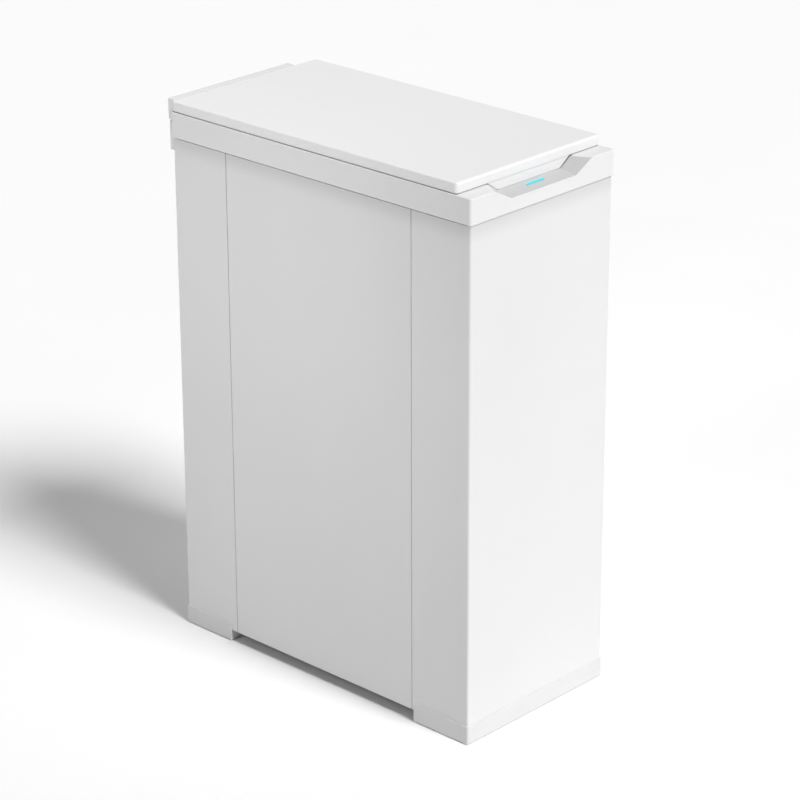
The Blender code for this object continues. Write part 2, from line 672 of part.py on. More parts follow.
def add_knuckles(leaf, spans, towards):
    """Barrels on the hinge line, each with a web to its leaf and a bore for the pin."""
    for index, (left, right) in enumerate(spans):
        barrel = rod(f"{leaf.name}_barrel_{index}", (left, HINGE_Y, HINGE_Z),
                     (right, HINGE_Y, HINGE_Z), KNUCKLE_RADIUS)
        web_z = sorted((HINGE_Z + towards * WEB_NEAR, HINGE_Z + towards * WEB_FAR))
        web = block(f"{leaf.name}_web_{index}", (left, HINGE_Y - WEB_HALF, web_z[0]),
                    (right, HINGE_Y + WEB_HALF, web_z[1]))
        join(leaf, barrel, web)
    cut(leaf, rod(leaf.name + "_bore", (-FAR, HINGE_Y, HINGE_Z), (FAR, HINGE_Y, HINGE_Z), KNUCKLE_BORE))


def make_hinge(lid):
    spans = knuckle_spans()
    behind = COLLAR_HALF_DEPTH + GAP
    leaf = block("body_hinge_plate", (HINGE_LEFT, behind, BODY_LEAF_BOTTOM),
                 (HINGE_RIGHT, BODY_LEAF_REAR, HINGE_Z - LEAF_TO_PIN), HINGE_CORNER)
    add_knuckles(leaf, spans[0::2], -1)
    keep(leaf, WHITE)
    keep(rod("hinge_pin", (HINGE_LEFT, HINGE_Y, HINGE_Z), (HINGE_RIGHT, HINGE_Y, HINGE_Z),
             HINGE_PIN_RADIUS, 16), STEEL)
    lid_leaf = block("lid_hinge_plate", (HINGE_LEFT, behind, HINGE_Z + LEAF_TO_PIN),
                     (HINGE_RIGHT, HINGE_REAR, HINGE_TOP), HINGE_CORNER)
    ledge = block("lid_hinge_ledge", (HINGE_LEFT, LID_REAR + GAP, LID_BOTTOM - GAP),
                  (HINGE_RIGHT, HINGE_REAR - LEDGE_SHORT, HINGE_TOP), HINGE_CORNER)
    join(lid_leaf, ledge)
    add_knuckles(lid_leaf, spans[1::2], 1)
    keep(lid_leaf, WHITE, lid)


# ---------------------------------------------------------------- lid

def make_lid(lid):
    cover = block("lid_cover", (-LID_HALF_WIDTH, LID_FRONT, LID_BOTTOM), (LID_HALF_WIDTH, LID_REAR, LID_TOP),
                  LID_CORNER, SMALL_EDGE)
    half = LID_HALF_WIDTH - LID_WALL
    front = LID_FRONT + LID_WALL
    rear = LID_REAR - LID_WALL
    hollow = block("lid_hollow", (-half, front, 0), (half, rear, LID_TOP - LID_WALL), LID_CORNER - LID_WALL)
    cut(cover, hollow)
    keep(cover, WHITE, lid)
    liner = block("lid_liner", (-half + GAP, front + GAP, LID_BOTTOM + GAP),
                  (half - GAP, rear - GAP, LID_BOTTOM + GAP + SHEET), LID_CORNER - LID_WALL)
    keep(liner, WHITE, lid)
    outline = trapezoid(LIP_BOTTOM_HALF, LIP_TOP_HALF, LIP_BOTTOM, LID_BOTTOM - GAP)
    lip = flat_plate("lid_grip_lip", outline, [], LIP_THICKNESS, UPRIGHT,
                     (0, LID_FRONT + LIP_THICKNESS / 2, 0))
    keep(lip, WHITE, lid)
    gasket = block("lid_gasket", (-GASKET_HALF_WIDTH, GASKET_FRONT, COLLAR_TOP + GAP),
                   (GASKET_HALF_WIDTH, GASKET_REAR, LID_BOTTOM), GASKET_CORNER)
    middle = block("gasket_middle", (-MOUTH_HALF_WIDTH - MM, MOUTH_FRONT - GAP, 0),
                   (MOUTH_HALF_WIDTH + MM, MOUTH_REAR + MM, FAR), MOUTH_CORNER)
    cut(gasket, middle)
    keep(gasket, RUBBER, lid)
    striker = block("lock_striker", (STRIKER_LEFT, STRIKER_FRONT, STRIKER_BOTTOM),
                    (STRIKER_RIGHT, STRIKER_REAR, HEAD_CEILING - GAP))
    slot = block("striker_slot", (BOLT_X - STRIKER_HOLE, STRIKER_FRONT - MM, BOLT_Z - STRIKER_HOLE),
                 (BOLT_X + STRIKER_HOLE, STRIKER_REAR + MM, BOLT_Z + STRIKER_HOLE))
    cut(striker, slot)
    keep(striker, STEEL, lid)


# ---------------------------------------------------------------- press

def make_press_head(lid):
    """Inverted tray under the lid that carries the arm shafts and the motor."""
    head = block("press_head", (-SKIRT_HALF, SKIRT_FRONT, HEAD_BOTTOM),
                 (SKIRT_HALF, SKIRT_REAR, HEAD_TOP - MM), SKIRT_CORNER)
    flange = block("head_flange", (-FLANGE_HALF, FLANGE_FRONT, HEAD_CEILING),
                   (FLANGE_HALF, FLANGE_REAR, HEAD_TOP))
    inside = block("head_inside", (-SKIRT_HALF + WALL, SKIRT_FRONT + WALL, 0),
                   (SKIRT_HALF - WALL, SKIRT_REAR - WALL, HEAD_CEILING), SKIRT_CORNER - WALL)
    join(head, flange)
    cut(head, inside)
    keep(head, SHEET_STEEL, lid)
    for name, side in (("left_bearing_plate", -1), ("right_bearing_plate", 1)):
        across = sorted((side * BEARING_X, side * (BEARING_X + BEARING_THICKNESS)))
        plate = block(name, (across[0], FRONT_AXIS_Y - BEARING_LONG, BEARING_BOTTOM),
                      (across[1], REAR_AXIS_Y + BEARING_LONG, HEAD_CEILING - GAP))
        for axis_y in (FRONT_AXIS_Y, REAR_AXIS_Y):
            bore = rod(f"{name}_bore", (-FAR, axis_y, HEAD_AXIS_Z), (FAR, axis_y, HEAD_AXIS_Z), SHAFT_BORE)
            cut(plate, bore)
        keep(plate, SHEET_STEEL, lid)


def make_press_motor(lid):
    gearbox = block("gearbox", (GEARBOX_LEFT, GEARBOX_FRONT, BEARING_BOTTOM),
                    (GEARBOX_RIGHT, GEARBOX_REAR, HEAD_CEILING - GAP))
    bore = rod("gearbox_bore", (0, PINION_Y, HEAD_AXIS_Z), (FAR, PINION_Y, HEAD_AXIS_Z), PINION_BORE)
    cut(gearbox, bore)
    keep(gearbox, DARK, lid)
    motor = rod("press_motor", (GEARBOX_RIGHT + GAP, MOTOR_Y, MOTOR_Z), (MOTOR_RIGHT, MOTOR_Y, MOTOR_Z),
                MOTOR_RADIUS, 32)
    keep(motor, STEEL, lid)


def round_ended_bar(length, radius, steps=10):
    """Outline of a bar with round ends, from the origin along +X."""
    outline = []
    for centre, start in ((length, -math.pi / 2), (0.0, math.pi / 2)):
        for k in range(steps + 1):
            turn = start + math.pi * k / steps
            outline.append((centre + radius * math.cos(turn), radius * math.sin(turn)))
    return outline


def make_arm(name, axis, inner_x, towards, slope):
    """Two bars and a cross tube, from the axis towards -Y or +Y, tilted by slope."""
    radius = ARM_HEIGHT / 2
    outline = [(towards * x, y) for x, y in round_ended_bar(ARM_LENGTH, radius)]
    holes = [(0.0, 0.0, SHAFT_BORE), (towards * ARM_LENGTH, 0.0, SHAFT_BORE)]
    bars = []
    for side_name, side in (("", -1), ("_right_bar", 1)):
        middle = Matrix.Translation((side * (inner_x + ARM_THICKNESS / 2), 0, 0))
        bar = flat_plate(name + side_name, outline, holes, ARM_THICKNESS, middle @ SIDEWAYS, axis)
        bar.rotation_euler.x = slope
        bars.append(bar)
    half_way = Vector((0, towards * ARM_LENGTH / 2, 0))
    reach = Vector((inner_x + ARM_TUBE_REACH, 0, 0))
    tube = rod(name + "_tube", half_way - reach, half_way + reach, ARM_TUBE_RADIUS, 16)
    turned = Matrix.Translation(axis) @ Matrix.Rotation(slope, 4, "X") @ Matrix.Translation(half_way)
    tube.matrix_world = turned
    join(bars[0], tube, bars[1])
    return bars[0]


def tooth_outline(teeth):
    """Involute spur gear outline, with a tooth centred on +X."""
    pitch = GEAR_MODULE * teeth / 2
    base = pitch * math.cos(PRESSURE_ANGLE)
    tip = pitch + TOOTH_ADDENDUM * GEAR_MODULE
    root = pitch - TOOTH_DEDENDUM * GEAR_MODULE
    half = math.pi / (2 * teeth) - BACKLASH / (4 * pitch) + math.tan(PRESSURE_ANGLE) - PRESSURE_ANGLE
    start = max(base, root)
    flank = []
    for k in range(FLANK_POINTS):
        radius = start + (tip - start) * k / (FLANK_POINTS - 1)
        roll = math.acos(min(1.0, base / radius))
        flank.append((radius, half - math.tan(roll) + roll))
    if root < start:
        flank.insert(0, (root, flank[0][1]))
    profile = [(r, -t) for r, t in flank] + [(r, t) for r, t in reversed(flank)]
    outline = []
    for k in range(teeth):
        centre = 2 * math.pi * k / teeth
        outline += [(r * math.cos(centre + t), r * math.sin(centre + t)) for r, t in profile]
    return outline


def make_pinion(lid):
    axis_at = (0, PINION_Y, HEAD_AXIS_Z)
    axis = pivot("motor_pinion_axis", axis_at, lid)
    pinion = flat_plate("motor_pinion", tooth_outline(PINION_TEETH), [], GEAR_WIDTH, SIDEWAYS, axis_at)
    shaft = rod("pinion_shaft", (PINION_SHAFT_LEFT, PINION_Y, HEAD_AXIS_Z),
                (PINION_SHAFT_RIGHT, PINION_Y, HEAD_AXIS_Z), PINION_SHAFT_RADIUS, 20)
    join(pinion, shaft)
    keep(pinion, BRASS, axis)


def make_arm_pair(end_name, axis_y, towards, lid):
    """Upper arm with its shaft, gear and knee pin, and the lower arm below it."""
    top = (0, axis_y, HEAD_AXIS_Z)
    knee = (0, axis_y + towards * KNEE_REACH, KNEE_Z)
    slope = -towards * REST_ANGLE
    upper = pivot(end_name + "_upper_axis", top, lid)
    lower = pivot(end_name + "_lower_axis", knee, upper)
    arm = make_arm(end_name + "_upper_arm", top, UPPER_ARM_X, towards, slope)
    keep(arm, SHEET_STEEL, upper)
    shaft = rod(end_name + "_arm_shaft", (-SHAFT_HALF, *top[1:]), (SHAFT_HALF, *top[1:]), SHAFT_RADIUS)
    keep(shaft, STEEL, upper)
    gear = flat_plate(end_name + "_arm_gear", tooth_outline(ARM_GEAR_TEETH), [(0, 0, SHAFT_BORE)],
                      GEAR_WIDTH, SIDEWAYS, top)
    keep(gear, BRASS, upper)
    pin = rod(end_name + "_knee_pin", (-KNEE_PIN_HALF, *knee[1:]), (KNEE_PIN_HALF, *knee[1:]), SHAFT_RADIUS)
    keep(pin, STEEL, upper)
    arm = make_arm(end_name + "_lower_arm", knee, LOWER_ARM_X, -towards, -slope)
    keep(arm, SHEET_STEEL, lower)
    return lower


def make_press_plate(lower):
    """Plate that squeezes the rubbish, with the lugs and pins of the lower arms."""
    axis = pivot("press_plate_axis", (0, FRONT_AXIS_Y, PLATE_AXIS_Z), lower)
    plate = block("press_plate", (-PLATE_HALF_WIDTH, PRESS_Y - PLATE_HALF_LENGTH, PLATE_BOTTOM),
                  (PLATE_HALF_WIDTH, PRESS_Y + PLATE_HALF_LENGTH, PLATE_TOP), PLATE_CORNER, 0, PLATE_EDGE)
    keep(plate, SHEET_STEEL, axis)
    outer = LUG_X + ARM_THICKNESS
    lug_low = FRONT_AXIS_Y - LUG_LONG
    lug_high = REAR_AXIS_Y + LUG_LONG
    seat_top = PLATE_TOP + GAP + BRACKET_FLOOR
    bracket = block("plate_bracket", (-outer, lug_low, PLATE_TOP + GAP), (outer, lug_high, seat_top))
    for side in (-1, 1):
        across = sorted((side * LUG_X, side * outer))
        lug = block(f"plate_lug_{side}", (across[0], lug_low, seat_top - MM), (across[1], lug_high, LUG_TOP))
        join(bracket, lug)
    for axis_y in (FRONT_AXIS_Y, REAR_AXIS_Y):
        cut(bracket, rod("plate_bore", (-FAR, axis_y, PLATE_AXIS_Z), (FAR, axis_y, PLATE_AXIS_Z), SHAFT_BORE))
    keep(bracket, SHEET_STEEL, axis)
    for name, axis_y in (("front_plate_pin", FRONT_AXIS_Y), ("rear_plate_pin", REAR_AXIS_Y)):
        pin = rod(name, (-PLATE_PIN_HALF, axis_y, PLATE_AXIS_Z), (PLATE_PIN_HALF, axis_y, PLATE_AXIS_Z),
                  SHAFT_RADIUS)
        keep(pin, STEEL, axis)


# ---------------------------------------------------------------- build

def main():
    make_front_shell()
    make_rear_shell()
    make_side_panels()
    make_foot("front_foot", -1, FRONT_FOOT_END)
    make_foot("rear_foot", 1, REAR_FOOT_END)
    make_base_pan()
    make_inner_frame()
    make_collar()
    make_grip_pocket()
    make_bin()
    make_bag_ring()
    make_power_inlet()
    make_power_switch()
    make_electrics()
    make_lid_lock()
    lid = pivot("lid_axis", (0, HINGE_Y, HINGE_Z))
    make_hinge(lid)
    make_lid(lid)
    make_press_head(lid)
    make_press_motor(lid)
    make_pinion(lid)
    front_lower = make_arm_pair("front", FRONT_AXIS_Y, -1, lid)
    make_arm_pair("rear", REAR_AXIS_Y, 1, lid)
    make_press_plate(front_lower)
    for obj in bpy.data.objects:
        if obj.parent is None:
            obj.location.y += HINGE_OFFSET


main()
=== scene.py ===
import json
import math

import bmesh
import bpy
from mathutils import Matrix, Vector


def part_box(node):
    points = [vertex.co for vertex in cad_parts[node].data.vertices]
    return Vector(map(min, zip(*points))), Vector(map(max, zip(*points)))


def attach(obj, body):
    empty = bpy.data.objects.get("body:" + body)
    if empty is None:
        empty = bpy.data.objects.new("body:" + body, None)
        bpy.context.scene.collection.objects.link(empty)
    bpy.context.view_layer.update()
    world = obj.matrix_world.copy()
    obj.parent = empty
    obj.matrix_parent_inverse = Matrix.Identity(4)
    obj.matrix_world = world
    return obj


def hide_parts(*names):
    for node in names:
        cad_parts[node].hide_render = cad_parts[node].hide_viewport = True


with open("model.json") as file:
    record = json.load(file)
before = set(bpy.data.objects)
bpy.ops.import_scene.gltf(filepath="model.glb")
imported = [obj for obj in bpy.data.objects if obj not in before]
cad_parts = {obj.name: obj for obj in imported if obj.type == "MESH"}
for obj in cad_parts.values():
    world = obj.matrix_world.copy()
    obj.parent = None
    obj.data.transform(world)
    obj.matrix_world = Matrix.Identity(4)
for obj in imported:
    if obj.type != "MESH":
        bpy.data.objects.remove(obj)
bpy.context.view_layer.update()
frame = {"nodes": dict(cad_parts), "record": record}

MM = 0.001
FAR = 1.0
NODES = frame["nodes"]
SLOT_OF = {row["node"]: row["material_slot"] for row in frame["record"]["subparts"]}

# The camera stands in front of the left corner and looks down a little.
CAMERA_TARGET = Vector((0.0939, 0.0668, 0.2844))
CAMERA_DISTANCE = 3.8312
CAMERA_AZIMUTH = math.radians(-46.689)
CAMERA_ELEVATION = math.radians(22.408)
CAMERA_ROLL = math.radians(-0.191)
CAMERA_LENS = 138.85

# A broad key light high in front, a white room that is brighter on the right, and a soft spot from the left.
SUN_STRENGTH = 2.6
SUN_SOFTNESS = math.radians(19)
SUN_FROM = (-0.055, -1.0, 1.22)
SKY_LEFT = 0.02
SKY_RIGHT = 0.70
FILL_AT = (-1.3, 0.25, 1.1)
FILL_AIM = (-0.12, 0.05, 0.47)
FILL_SIZE = 0.3
FILL_CONE = math.radians(48)
FILL_POWER = 26.5
FLOOR_SIZE = 14.0

# How finely round shapes are cut, and which edges count as sharp
CORNER_STEPS = 8
RIM_STEPS = 5
CURVE_STEPS = 5
FILLET_STEPS = 8
BEVEL_ANGLE = math.radians(30)
SHARP_ANGLE = math.radians(35)

# Housing
WALL = 2.5 * MM
CORNER = 2.5 * MM
SEAM_EDGE = 0.45 * MM
SHELL_DROP = 1.4 * MM
SEAM_INSET = 0.25 * MM
# Painted shade under the collar: the housing's colour darkens over this depth below its top, down to this
# share of its brightness.
SHADE_DEPTH = 26.0 * MM
SHADE_LEVEL = 0.86
FIT = 0.3 * MM
FOOT_WALL = 6.0 * MM
FOOT_HOLLOW_TOP = 20.0 * MM
FOOT_TOP_EDGE = 1.0 * MM
FOOT_PROUD = 0.6 * MM
FOOT_BLANK = 200 * MM
FOOT_HOLLOW_HALF = 84.0 * MM
FOOT_HOLLOW_CORNER = 4 * MM
FOOT_HOLLOW_EDGE = 2 * MM
PAD_GROOVES = (0.35, 0.65)
PAD_GROOVE_DEPTH = 0.6 * MM
PAD_CHAMFER = 0.7 * MM
BACK_CUT = 30 * MM
VENT_ROWS = 8
VENT_BOTTOM = 545 * MM
VENT_PITCH = 7 * MM
VENT_SLOT = 3 * MM
VENT_HALF = 45 * MM
PANEL_SCREW = 3.2 * MM
PANEL_SCREW_X = 108 * MM
BACK_SCREW_Z = (45 * MM, 240 * MM, 430 * MM, 600 * MM)
SCREW_SEAT = (3.4 * MM, 4.6 * MM, 0.35 * MM)
BASE_BEADS_X = (-70 * MM, -35 * MM, 0, 35 * MM, 70 * MM)
BASE_BEAD_END = 20 * MM
BASE_SCREW_END = 12 * MM
BEAD_HALF = 4 * MM
BEAD_CORNER = 3.9 * MM
BEAD_RISE = 1.2 * MM

# Collar, finger recess and lid
COLLAR_CORNER = 3.0 * MM
COLLAR_EDGE = 1.2 * MM
COLLAR_WALL = 3.0 * MM
RECESS_FLOOR_HALF = 54.0 * MM
RECESS_TOP_HALF = 83.0 * MM
RECESS_RISE = 3.3 * MM
RECESS_WALL = 2.0 * MM
RECESS_EAR = 14.0 * MM
RECESS_EAR_RISE = 4 * MM
RECESS_OVER = 0.02 * MM
RECESS_RADII = [1.5 * MM, 4.5 * MM, 0, 0]
POCKET_FLANGE = 0.4 * MM
POCKET_COVER = 0.8 * MM
BAY_DEPTH = 6.0 * MM
BAY_RIM = 0.5 * MM
BAY_SIDE = 12.0 * MM
LIP_GAP_LEFT = 0.3 * MM
LIP_GAP_RIGHT = 2.6 * MM
LIP_SET_BACK = 0.9 * MM
LIP_REACH = 0.35 * MM
GROOVE_WIDTH = 7.0 * MM
GROOVE_DEPTH = 2.4 * MM
GROOVE_INSET = 0.4 * MM
GROOVE_FRONT = 1.2 * MM
MOUTH_CORNER = 4 * MM
POCKET_CORNER = 1.0 * MM
LENS_HALF_DEEP = 1.7 * MM
LENS_BASE = 0.2 * MM
LENS_RISE = 0.5 * MM
BEZEL_MARGIN = 0.35 * MM
BEZEL_RISE = 0.25 * MM
LIP_DROP = 0.4 * MM
LID_CORNER = 4.5 * MM
LID_EDGE = 1.2 * MM
LID_FRONT_FILLET = 3.2 * MM
LID_WALL = 3.0 * MM
SKIRT_DROP = 0.4 * MM
LIP_BOTTOM_HALF = 52.3 * MM
LIP_CORNER = 3 * MM
HINGE_SCREW = 3.0 * MM
HINGE_RISE = 12 * MM
HINGE_SHARES = (0.08, 0.36, 0.64, 0.92)
HEAD_FLANGE = 3.0 * MM
HEAD_SCREW = 3.0 * MM
HEAD_SCREW_X = 94 * MM
HEAD_SHARES = (0.1, 0.36, 0.64, 0.9)

# Inlet and switch
INLET_ROUND = 1.6 * MM
SOCKET_HALF_WIDE = 12 * MM
SOCKET_HALF_TALL = 8 * MM
SOCKET_DEEP = 19 * MM
SOCKET_ROUND = 2.4 * MM
BLADES = ((-6.5 * MM, -1.5 * MM), (0, 2 * MM), (6.5 * MM, -1.5 * MM))
BLADE_FROM = 22 * MM
BLADE_TO = 6 * MM
SWITCH_TILT = math.radians(7.0)
ROCKER_HALF_DEEP = 3.0 * MM
MARK_SINK = 0.1 * MM
RING_MARK_AT = 5.5 * MM
RING_MARK = (1.3 * MM, 2.0 * MM, 0.3 * MM)
LINE_MARK_HALF = 0.4 * MM
LINE_MARK_FROM = -7.2 * MM
LINE_MARK_TO = -3.8 * MM

# Bin
BIN_FLANGE = 3 * MM
FLUTE_HALF = 2 * MM
FLUTE_RISE = 1.2 * MM
FLUTE_BOTTOM = 12 * MM
FLUTE_TOP = 52 * MM
SIDE_FLUTES = 7
END_FLUTES_X = (-48 * MM, -16 * MM, 16 * MM, 48 * MM)
TAB_INSET = 2.8 * MM
TAB_HALF = 1.9 * MM
TAB_FROM = -55 * MM
TAB_TO = -15 * MM
TAB_RISE = 2.2 * MM

# Press
STUD_PITCH = 32 * MM
PLATE_BEADS = ((58 * MM, 66 * MM), (72 * MM, 80 * MM))
PLATE_BEAD_END = 14 * MM
PIN_BORE = 4.05 * MM
HUB_BORE = 4.2 * MM
# Each ring is (distance from the middle, radius, thickness).
KNEE_RINGS = ((59.5 * MM, 6.2 * MM, 2.2 * MM), (67.3 * MM, 6.2 * MM, 1.0 * MM))
PLATE_CIRCLIP = ((59.3 * MM, 5.6 * MM, 0.7 * MM),)
SHAFT_CIRCLIP = ((73.2 * MM, 5.6 * MM, 0.7 * MM),)
GEAR_HUB = ((5.5 * MM, 8.5 * MM, 2.3 * MM),)
MOTOR_SLOTS = 8
GEARBOX_RIBS = 5
GEARBOX_SCREW = 2.0 * MM
GEARBOX_INSET = 4 * MM

# Electrics; each board part is (across, up, width, height, depth) in millimetres
BOARD_PARTS = ((-38, 50, 20, 16, 6.5), (-8, 52, 12, 12, 2), (18, 50, 9, 14, 1.6),
               (-30, 18, 26, 7, 6), (14, 20, 14, 6, 1.6), (38, 46, 10, 22, 6))
BOARD_SINK = 0.2 * MM
CAN_COUNT = 4
CAN_FIRST_X = 40 * MM
CAN_PITCH = 11 * MM
CAN_LEVEL = 12 * MM
LOUVRE_COUNT = 9
LOUVRE_BOTTOM = 25 * MM
LOUVRE_PITCH = 10 * MM
LOUVRE_TALL = 3 * MM
LOUVRE_INSET = 20 * MM
LOUVRE_SINK = 0.3 * MM
LOUVRE_RISE = 1.2 * MM
SUPPLY_SCREW = 2.6 * MM
SUPPLY_INSET = 7 * MM
FILTER_BORDER = 1.5 * MM
FILTER_WINDOW = 3 * MM

# Edge widths, in millimetres, of CAD nodes that stay and don't have the usual one
USUAL_EDGE = 0.3
EDGE_WIDTHS = {"bin": 0.8, "bag_ring": 0.5, "press_plate": 0.5, "lid_gasket": 0.5, "gearbox": 1.2,
               "power_supply": 0.8, "charcoal_filter": 1.0, "front_arm_gear": 0.15, "rear_arm_gear": 0.15,
               "motor_pinion": 0.12, "hinge_pin": 0.2, "lock_bolt": 0.4, "press_head": 0.5,
               "body_hinge_plate": 0.5, "lid_hinge_plate": 0.5, "switch_frame": 0.8, "power_switch": 0.9}

# Filled as the pieces are made
REPLACED = set()
DRESSED = set()


# ---- stage

def link(obj):
    bpy.context.scene.collection.objects.link(obj)
    return obj


def make_camera():
    a, e = CAMERA_AZIMUTH, CAMERA_ELEVATION
    back = Vector((math.sin(a) * math.cos(e), -math.cos(a) * math.cos(e), math.sin(e)))
    right = Vector((math.cos(a), math.sin(a), 0.0))
    up = back.cross(right)
    turn = Matrix((right, up, back)).transposed().to_4x4()
    roll = Matrix.Rotation(CAMERA_ROLL, 4, "Z")
    data = bpy.data.cameras.new("camera")
    data.sensor_width = 36.0
    data.lens = CAMERA_LENS
    data.clip_end = 50.0
    camera = link(bpy.data.objects.new("camera", data))
    camera.matrix_world = Matrix.Translation(CAMERA_TARGET + back * CAMERA_DISTANCE) @ turn @ roll
    bpy.context.scene.camera = camera


def add_light(name, kind, energy, towards_source, place=(0.0, 0.0, 0.0)):
    data = bpy.data.lights.new(name, kind)
    data.energy = energy
    light = link(bpy.data.objects.new(name, data))
    light.location = place
    light.rotation_mode = "QUATERNION"
    light.rotation_quaternion = towards_source.to_track_quat("Z", "Y")
    return data


def make_lights():
    key = add_light("key", "SUN", SUN_STRENGTH, Vector(SUN_FROM))
    key.angle = SUN_SOFTNESS
    fill = add_light("fill", "SPOT", FILL_POWER, Vector(FILL_AT) - Vector(FILL_AIM), FILL_AT)
    fill.spot_size = FILL_CONE
    fill.spot_blend = 1.0
    fill.shadow_soft_size = FILL_SIZE


def make_world():
    """White light that is dimmer from the left, and plain white where the camera sees past the floor."""
    world = bpy.data.worlds.new("studio")
    bpy.context.scene.world = world
    world.use_nodes = True
    nodes = world.node_tree.nodes
    links = world.node_tree.links
    background = nodes["Background"]
    background.inputs["Color"].default_value = (1.0, 1.0, 1.0, 1.0)
    seen = nodes.new("ShaderNodeLightPath").outputs["Is Camera Ray"]
    direction = nodes.new("ShaderNodeSeparateXYZ")
    links.new(nodes.new("ShaderNodeTexCoord").outputs["Generated"], direction.inputs["Vector"])
    across = nodes.new("ShaderNodeMapRange")
    across.inputs["From Min"].default_value = -1.0
    across.inputs["To Min"].default_value = SKY_LEFT
    across.inputs["To Max"].default_value = SKY_RIGHT
    links.new(direction.outputs["X"], across.inputs["Value"])
    strength = nodes.new("ShaderNodeMapRange")
    strength.inputs["To Max"].default_value = 1.0
    links.new(seen, strength.inputs["Value"])
    links.new(across.outputs["Result"], strength.inputs["To Min"])
    links.new(strength.outputs["Result"], background.inputs["Strength"])


def make_floor():
    bm = bmesh.new()
    bmesh.ops.create_grid(bm, x_segments=8, y_segments=8, size=FLOOR_SIZE)
    floor = mesh_object("floor", bm)
    material, nodes, links, shader = new_material("floor_paint")
    cloud = noise(nodes, links, scale=3.0, detail=2.0)
    tint(nodes, links, cloud, shader, (0.962, 0.962, 0.962), (0.977, 0.977, 0.977))
    shader.inputs["Roughness"].default_value = 0.9
    shader.inputs["Specular IOR Level"].default_value = 0.1
    floor.data.materials.append(material)


# ---- materials

def new_material(name):
    material = bpy.data.materials.new(name)
    material.use_nodes = True
    tree = material.node_tree
    return material, tree.nodes, tree.links, tree.nodes["Principled BSDF"]


def object_point(nodes, links, stretch=None):
    """Where a point is on the object, in metres, optionally stretched along an axis."""
    point = nodes.new("ShaderNodeTexCoord").outputs["Object"]
    if stretch:
        mapping = nodes.new("ShaderNodeMapping")
        mapping.inputs["Scale"].default_value = stretch
        links.new(point, mapping.inputs["Vector"])
        point = mapping.outputs["Vector"]
    return point


def noise(nodes, links, scale, detail=3.0, stretch=None):
    texture = nodes.new("ShaderNodeTexNoise")
    texture.inputs["Scale"].default_value = scale
    texture.inputs["Detail"].default_value = detail
    links.new(object_point(nodes, links, stretch), texture.inputs["Vector"])
    return texture.outputs["Fac"]


def tint(nodes, links, factor, shader, low, high, band=(0.3, 0.7)):
    """Base colour that wanders between two colours as a texture goes from low to high."""
    ramp = nodes.new("ShaderNodeValToRGB")
    ramp.color_ramp.elements[0].position = band[0]
    ramp.color_ramp.elements[0].color = (*low, 1.0)
    ramp.color_ramp.elements[1].position = band[1]
    ramp.color_ramp.elements[1].color = (*high, 1.0)
    links.new(factor, ramp.inputs["Fac"])
    links.new(ramp.outputs["Color"], shader.inputs["Base Color"])


def vary(nodes, links, factor, socket, low, high):
    spread = nodes.new("ShaderNodeMapRange")
    spread.inputs["From Min"].default_value = 0.3
    spread.inputs["From Max"].default_value = 0.7
    spread.inputs["To Min"].default_value = low
    spread.inputs["To Max"].default_value = high
    links.new(factor, spread.inputs["Value"])
    links.new(spread.outputs["Result"], socket)


def bump(nodes, links, shader, layers):
    """Bumps in metres of height: (texture output, height)."""
    normal = None
    for texture, height in layers:
        node = nodes.new("ShaderNodeBump")
        node.inputs["Strength"].default_value = 1.0
        node.inputs["Distance"].default_value = height
        links.new(texture, node.inputs["Height"])
        if normal:
            links.new(normal, node.inputs["Normal"])
        normal = node.outputs["Normal"]
    links.new(normal, shader.inputs["Normal"])


def shaded(colour, factor):
    return tuple(c * factor for c in colour)


def moulded_plastic(name, colour, rough=(0.40, 0.52), grain=0.00003, spread=0.012):
    """Spark-eroded moulding: fine even grain, a faint flow of tone, slightly uneven gloss."""
    material, nodes, links, shader = new_material(name)
    flow = noise(nodes, links, 5.0, 2.0, (1.0, 1.0, 0.45))
    tint(nodes, links, flow, shader, shaded(colour, 1 - spread), shaded(colour, 1 + spread))
    vary(nodes, links, noise(nodes, links, 45.0, 4.0), shader.inputs["Roughness"], *rough)
    shader.inputs["IOR"].default_value = 1.48
    shader.inputs["Specular IOR Level"].default_value = 0.4
    bump(nodes, links, shader, [(noise(nodes, links, 1400.0, 2.0), grain),
                                (noise(nodes, links, 160.0, 3.0), grain * 0.6)])
    return material


def housing_plastic_painted_shade(name, colour):
    """The same moulding with painted shade: its colour grows darker towards the top, in a band just under
    the overhang of the collar.
    """
    material = moulded_plastic(name, colour)
    nodes = material.node_tree.nodes
    links = material.node_tree.links
    shader = nodes["Principled BSDF"]
    plain = shader.inputs["Base Color"].links[0].from_socket
    height = nodes.new("ShaderNodeSeparateXYZ")
    links.new(object_point(nodes, links), height.inputs["Vector"])
    depth = nodes.new("ShaderNodeMapRange")
    depth.interpolation_type = "SMOOTHSTEP"
    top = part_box("front_shell")[1].z
    depth.inputs["From Min"].default_value = top - SHADE_DEPTH
    depth.inputs["From Max"].default_value = top
    depth.inputs["To Min"].default_value = 1.0
    depth.inputs["To Max"].default_value = SHADE_LEVEL
    links.new(height.outputs["Z"], depth.inputs["Value"])
    shade = nodes.new("ShaderNodeVectorMath")
    shade.operation = "SCALE"
    links.new(plain, shade.inputs["Vector"])
    links.new(depth.outputs["Result"], shade.inputs["Scale"])
    links.new(shade.outputs["Vector"], shader.inputs["Base Color"])
    return material


